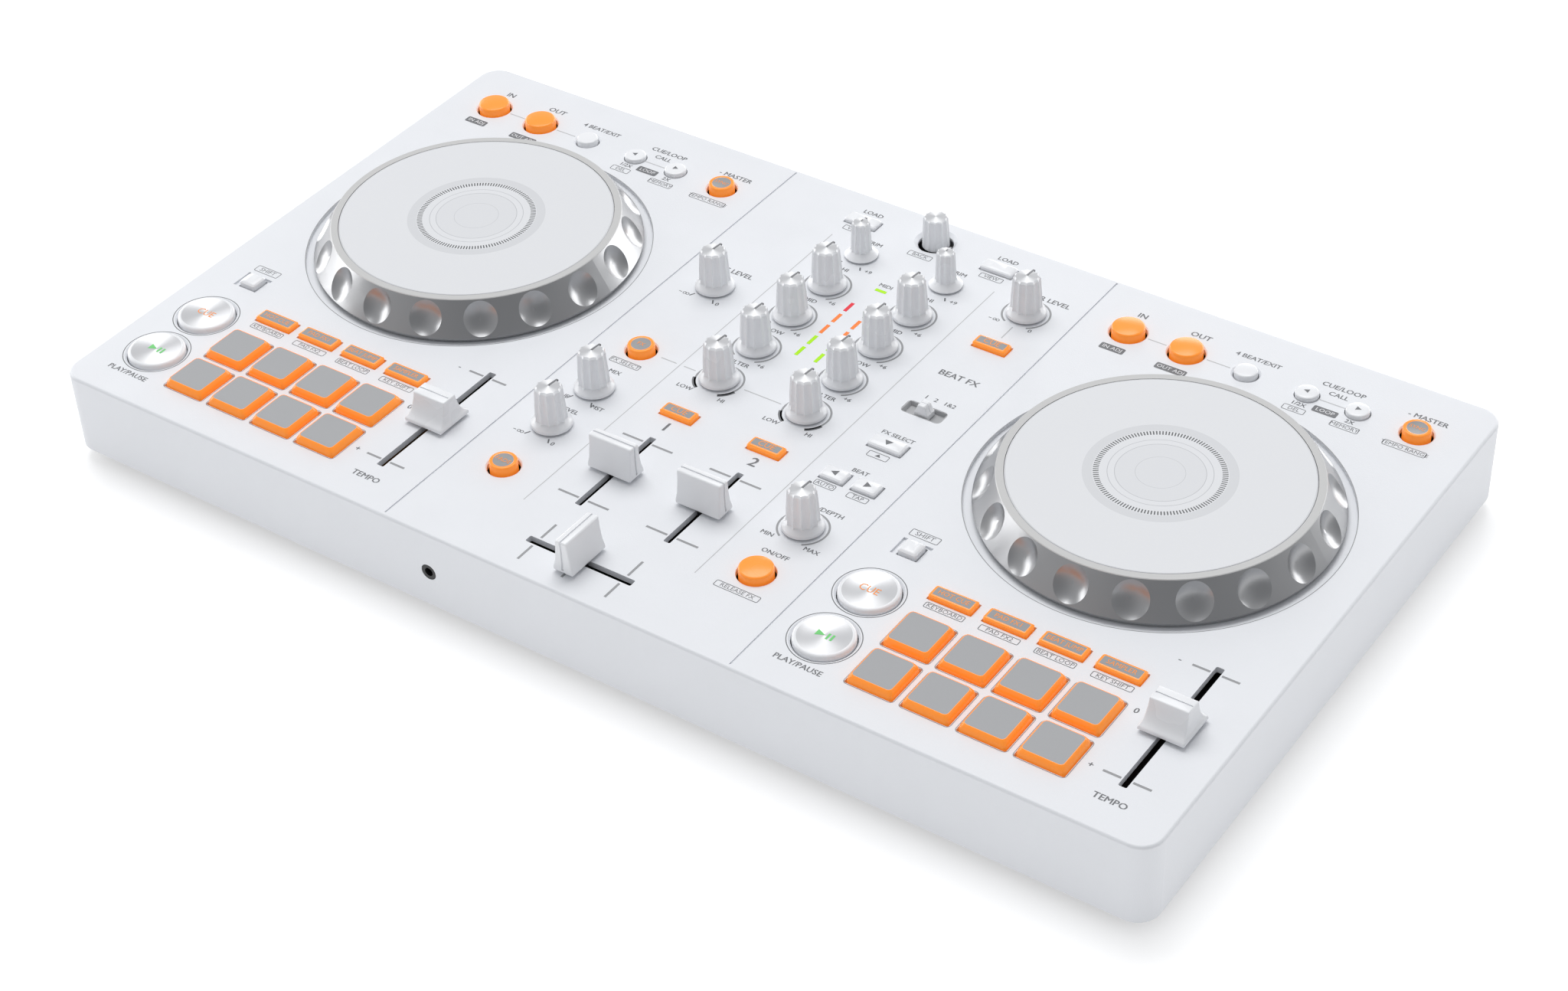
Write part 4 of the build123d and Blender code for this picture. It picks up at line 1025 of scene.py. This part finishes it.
def mixer_print():
    """The lines and words of the mixer between the decks."""
    marks = []
    for side in (-1, 1):
        marks.append(word("LOAD", side * 32.2, 121.2, 2.15))
        marks += box_label(side * 32.5, 107.6, 10.5, 3.2, "VIEW")
        x = side * 20.0
        marks.append(word("TRIM", x, 103.4, 2.0))
        marks += end_ticks(x, 93.8, 8.6, 10.8)
        marks.append(word("+9", x + 7.0, 85.2, 1.9, side="LEFT"))
        for y, text in ((69.15, "HI"), (44.6, "MID"), (20.0, "LOW"), (-4.6, "FILTER")):
            marks.append(word(text, x, y + 12.6, 2.0))
            marks.append(scale_ring(x, y))
            if text == "FILTER":
                marks.append(ring_mark(x, y, 10.6, 1.4, 60, INK_GREY, 72, -3.0))
            else:
                marks.append(word("+6", x + 6.6, y - 9.3, 1.9, side="LEFT"))
        marks.append(word("LOW", x - 9.0, -15.2, 1.9))
        marks.append(word("HI", x + 8.0, -15.2, 1.9))
        marks.append(word(str(1 + (side > 0)), x, -39.5, 4.6))
        for y in (-50.8, -90.0):
            marks += [bar(x + lean, y, 9.4, 1.0, INK_TICK_AND_SHADE) for lean in (-6.8, 6.8)]
        marks.append(bar(side * 38.5, -0.7, 0.35, 202, INK_LINE))
        for low, high in ((-115.6, -106.7), (-129.2, -120.6)):
            marks.append(bar(side * 19.45, (low + high) / 2, 1.0, high - low, INK_TICK_AND_SHADE))
    marks.append(bar(0, -126.5, 1.0, 4.6, INK_TICK_AND_SHADE))
    marks.append(word("MIDI", 0.2, 80.6, 1.9))
    marks += box_label(0.05, 105.9, 11, 3.3, "BACK")
    marks.append(word("MASTER LEVEL", 56.75, 106.1, 2.45))
    marks += [scale_ring(57, 93.8), word("0", 63.9, 84.6, 1.9), bar(57, 79.4, 0.5, 8.5, INK_LINE)]
    marks += [word("MIC LEVEL", -57.2, 57.3, 2.45), word("0", -49.9, 35.3, 1.9)]
    marks += end_ticks(-57.2, 44.6, 8.8, 11.3)
    marks += [word("MIX", -57.2, -21.9, 2.0), word("CUE", -65.5, -43.9, 1.9), word("MST", -49.0, -43.9, 1.9)]
    marks += end_ticks(-57.2, -34.5, 8.8, 11.3)
    marks += [word("LEVEL", -57.2, -50.4, 2.0), word("0", -49.9, -70.2, 1.9)]
    marks += end_ticks(-57.2, -60.8, 8.8, 11.3)
    for x, y in ((48.2, 84.6), (-65.5, 35.3), (-65.7, -70.2)):
        marks += endless_sign(x, y)
    marks += box_label(-57.25, -15.1, 14, 3.2, "FX SELECT")
    for low, high in ((-47.5, -40.2), (-36.7, -31.2), (-8.4, 8.7)):
        marks.append(bar((low + high) / 2, -4.7, high - low, 0.5, INK_LINE))
    marks.append(word("BEAT FX", 56.75, 44.3, 2.9))
    marks += [word("1", 52.75, 28.0, 2.0), word("2", 56.95, 28.0, 2.0), word("1&2", 63.0, 28.0, 2.0)]
    marks += [word("FX SELECT", 57.0, 1.6, 1.9), word("BEAT", 56.75, -23.4, 1.9)]
    marks += box_label(56.95, -11.9, 9, 3.4, "") + [arrow(56.95, -11.9, 2.4, 1.7, 0)]
    marks += box_label(49.75, -36.4, 9, 3.2, "AUTO") + box_label(64.05, -36.4, 9, 3.2, "TAP")
    marks += [word("LEVEL/DEPTH", 56.75, -48.8, 2.0), scale_ring(57, -60.8)]
    marks += [word("MIN", 47.6, -70.2, 1.9), word("MAX", 66.7, -70.2, 1.9)]
    marks += [word("ON/OFF", 56.75, -78.4, 2.0)] + box_label(56.9, -101.9, 19, 3.3, "RELEASE FX")
    return marks


middle_print = join(mixer_print(), "mixer_print")
for piece in (right_print_and_shade, left_print_and_shade, middle_print):
    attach(piece, "case")
print("mixer print faces", len(middle_print.data.polygons))

# %% [markdown]
# ## Studio
# A white floor runs out past the view. A soft overhead light behind the unit on the left throws soft
# shadows forward and to the right. Two panels at the back and left show only in reflections, as bright
# strips in the metal rings. The sky is a plain ramp, paler behind the unit and greyer on its near side.

# %% Floor, light and sky
start_fresh()
bpy.ops.mesh.primitive_plane_add(size=12, location=(0, 0, cad_box[0][2]))
floor = name_piece(bpy.context.object, "studio_floor")
floor_finish = Finish("floor_white", (0.8, 0.8, 0.8), 0.9)
floor_finish.set("Emission Color", (1, 1, 1, 1))
floor_finish.set("Emission Strength", 0.46)
cloud = floor_finish.noise(floor_finish.place(), 0.01)
floor_finish.set("Base Color", floor_finish.blend(cloud, (0.79, 0.79, 0.79), (0.8, 0.8, 0.8)))
floor.data.materials.append(floor_finish.material)


def softbox(name, place, wide, high, energy, lights=True):
    """A rectangular light at a place, facing the unit. One that doesn't light shows in reflections only."""
    light = bpy.data.lights.new(name, "AREA")
    light.shape = "RECTANGLE"
    light.size = wide
    light.size_y = high
    light.energy = energy
    lamp = bpy.data.objects.new(name, light)
    facing = (Vector(place) - Vector((0, 0, place[2] * 0.5))).to_track_quat("Z", "Y")
    lamp.matrix_world = Matrix.Translation(place) @ facing.to_matrix().to_4x4()
    lamp.visible_camera = False
    lamp.visible_diffuse = lights
    bpy.context.scene.collection.objects.link(lamp)


softbox("overhead_softbox", (-0.5, 0.55, 1.9), 1.6, 1.1, 24)
softbox("back_panel", (0.1, 1.6, 0.4), 2.2, 0.8, 17, False)
softbox("left_panel", (-1.6, 0.1, 0.4), 2.0, 0.8, 16, False)

NEAR_SIDE = (0.62, -0.52, 0.59)
sky = bpy.data.worlds.new("studio_sky")
bpy.context.scene.world = sky
sky.use_nodes = True
air = sky.node_tree
background = air.nodes["Background"]
coordinates = air.nodes.new("ShaderNodeTexCoord")
toward = air.nodes.new("ShaderNodeVectorMath")
toward.operation = "DOT_PRODUCT"
toward.inputs[1].default_value = NEAR_SIDE
ramp = air.nodes.new("ShaderNodeValToRGB")
air.links.new(coordinates.outputs["Generated"], toward.inputs[0])
air.links.new(toward.outputs["Value"], ramp.inputs[0])
air.links.new(ramp.outputs[0], background.inputs[0])
stops = ramp.color_ramp.elements
stops[0].position = 0.4
stops[0].color = (0.52, 0.525, 0.535, 1)
stops[1].position = 0.93
stops[1].color = (0.32, 0.325, 0.335, 1)
background.inputs[1].default_value = 1.22
bpy.context.scene.view_settings.view_transform = "Standard"
print("lights", len(bpy.data.lights))
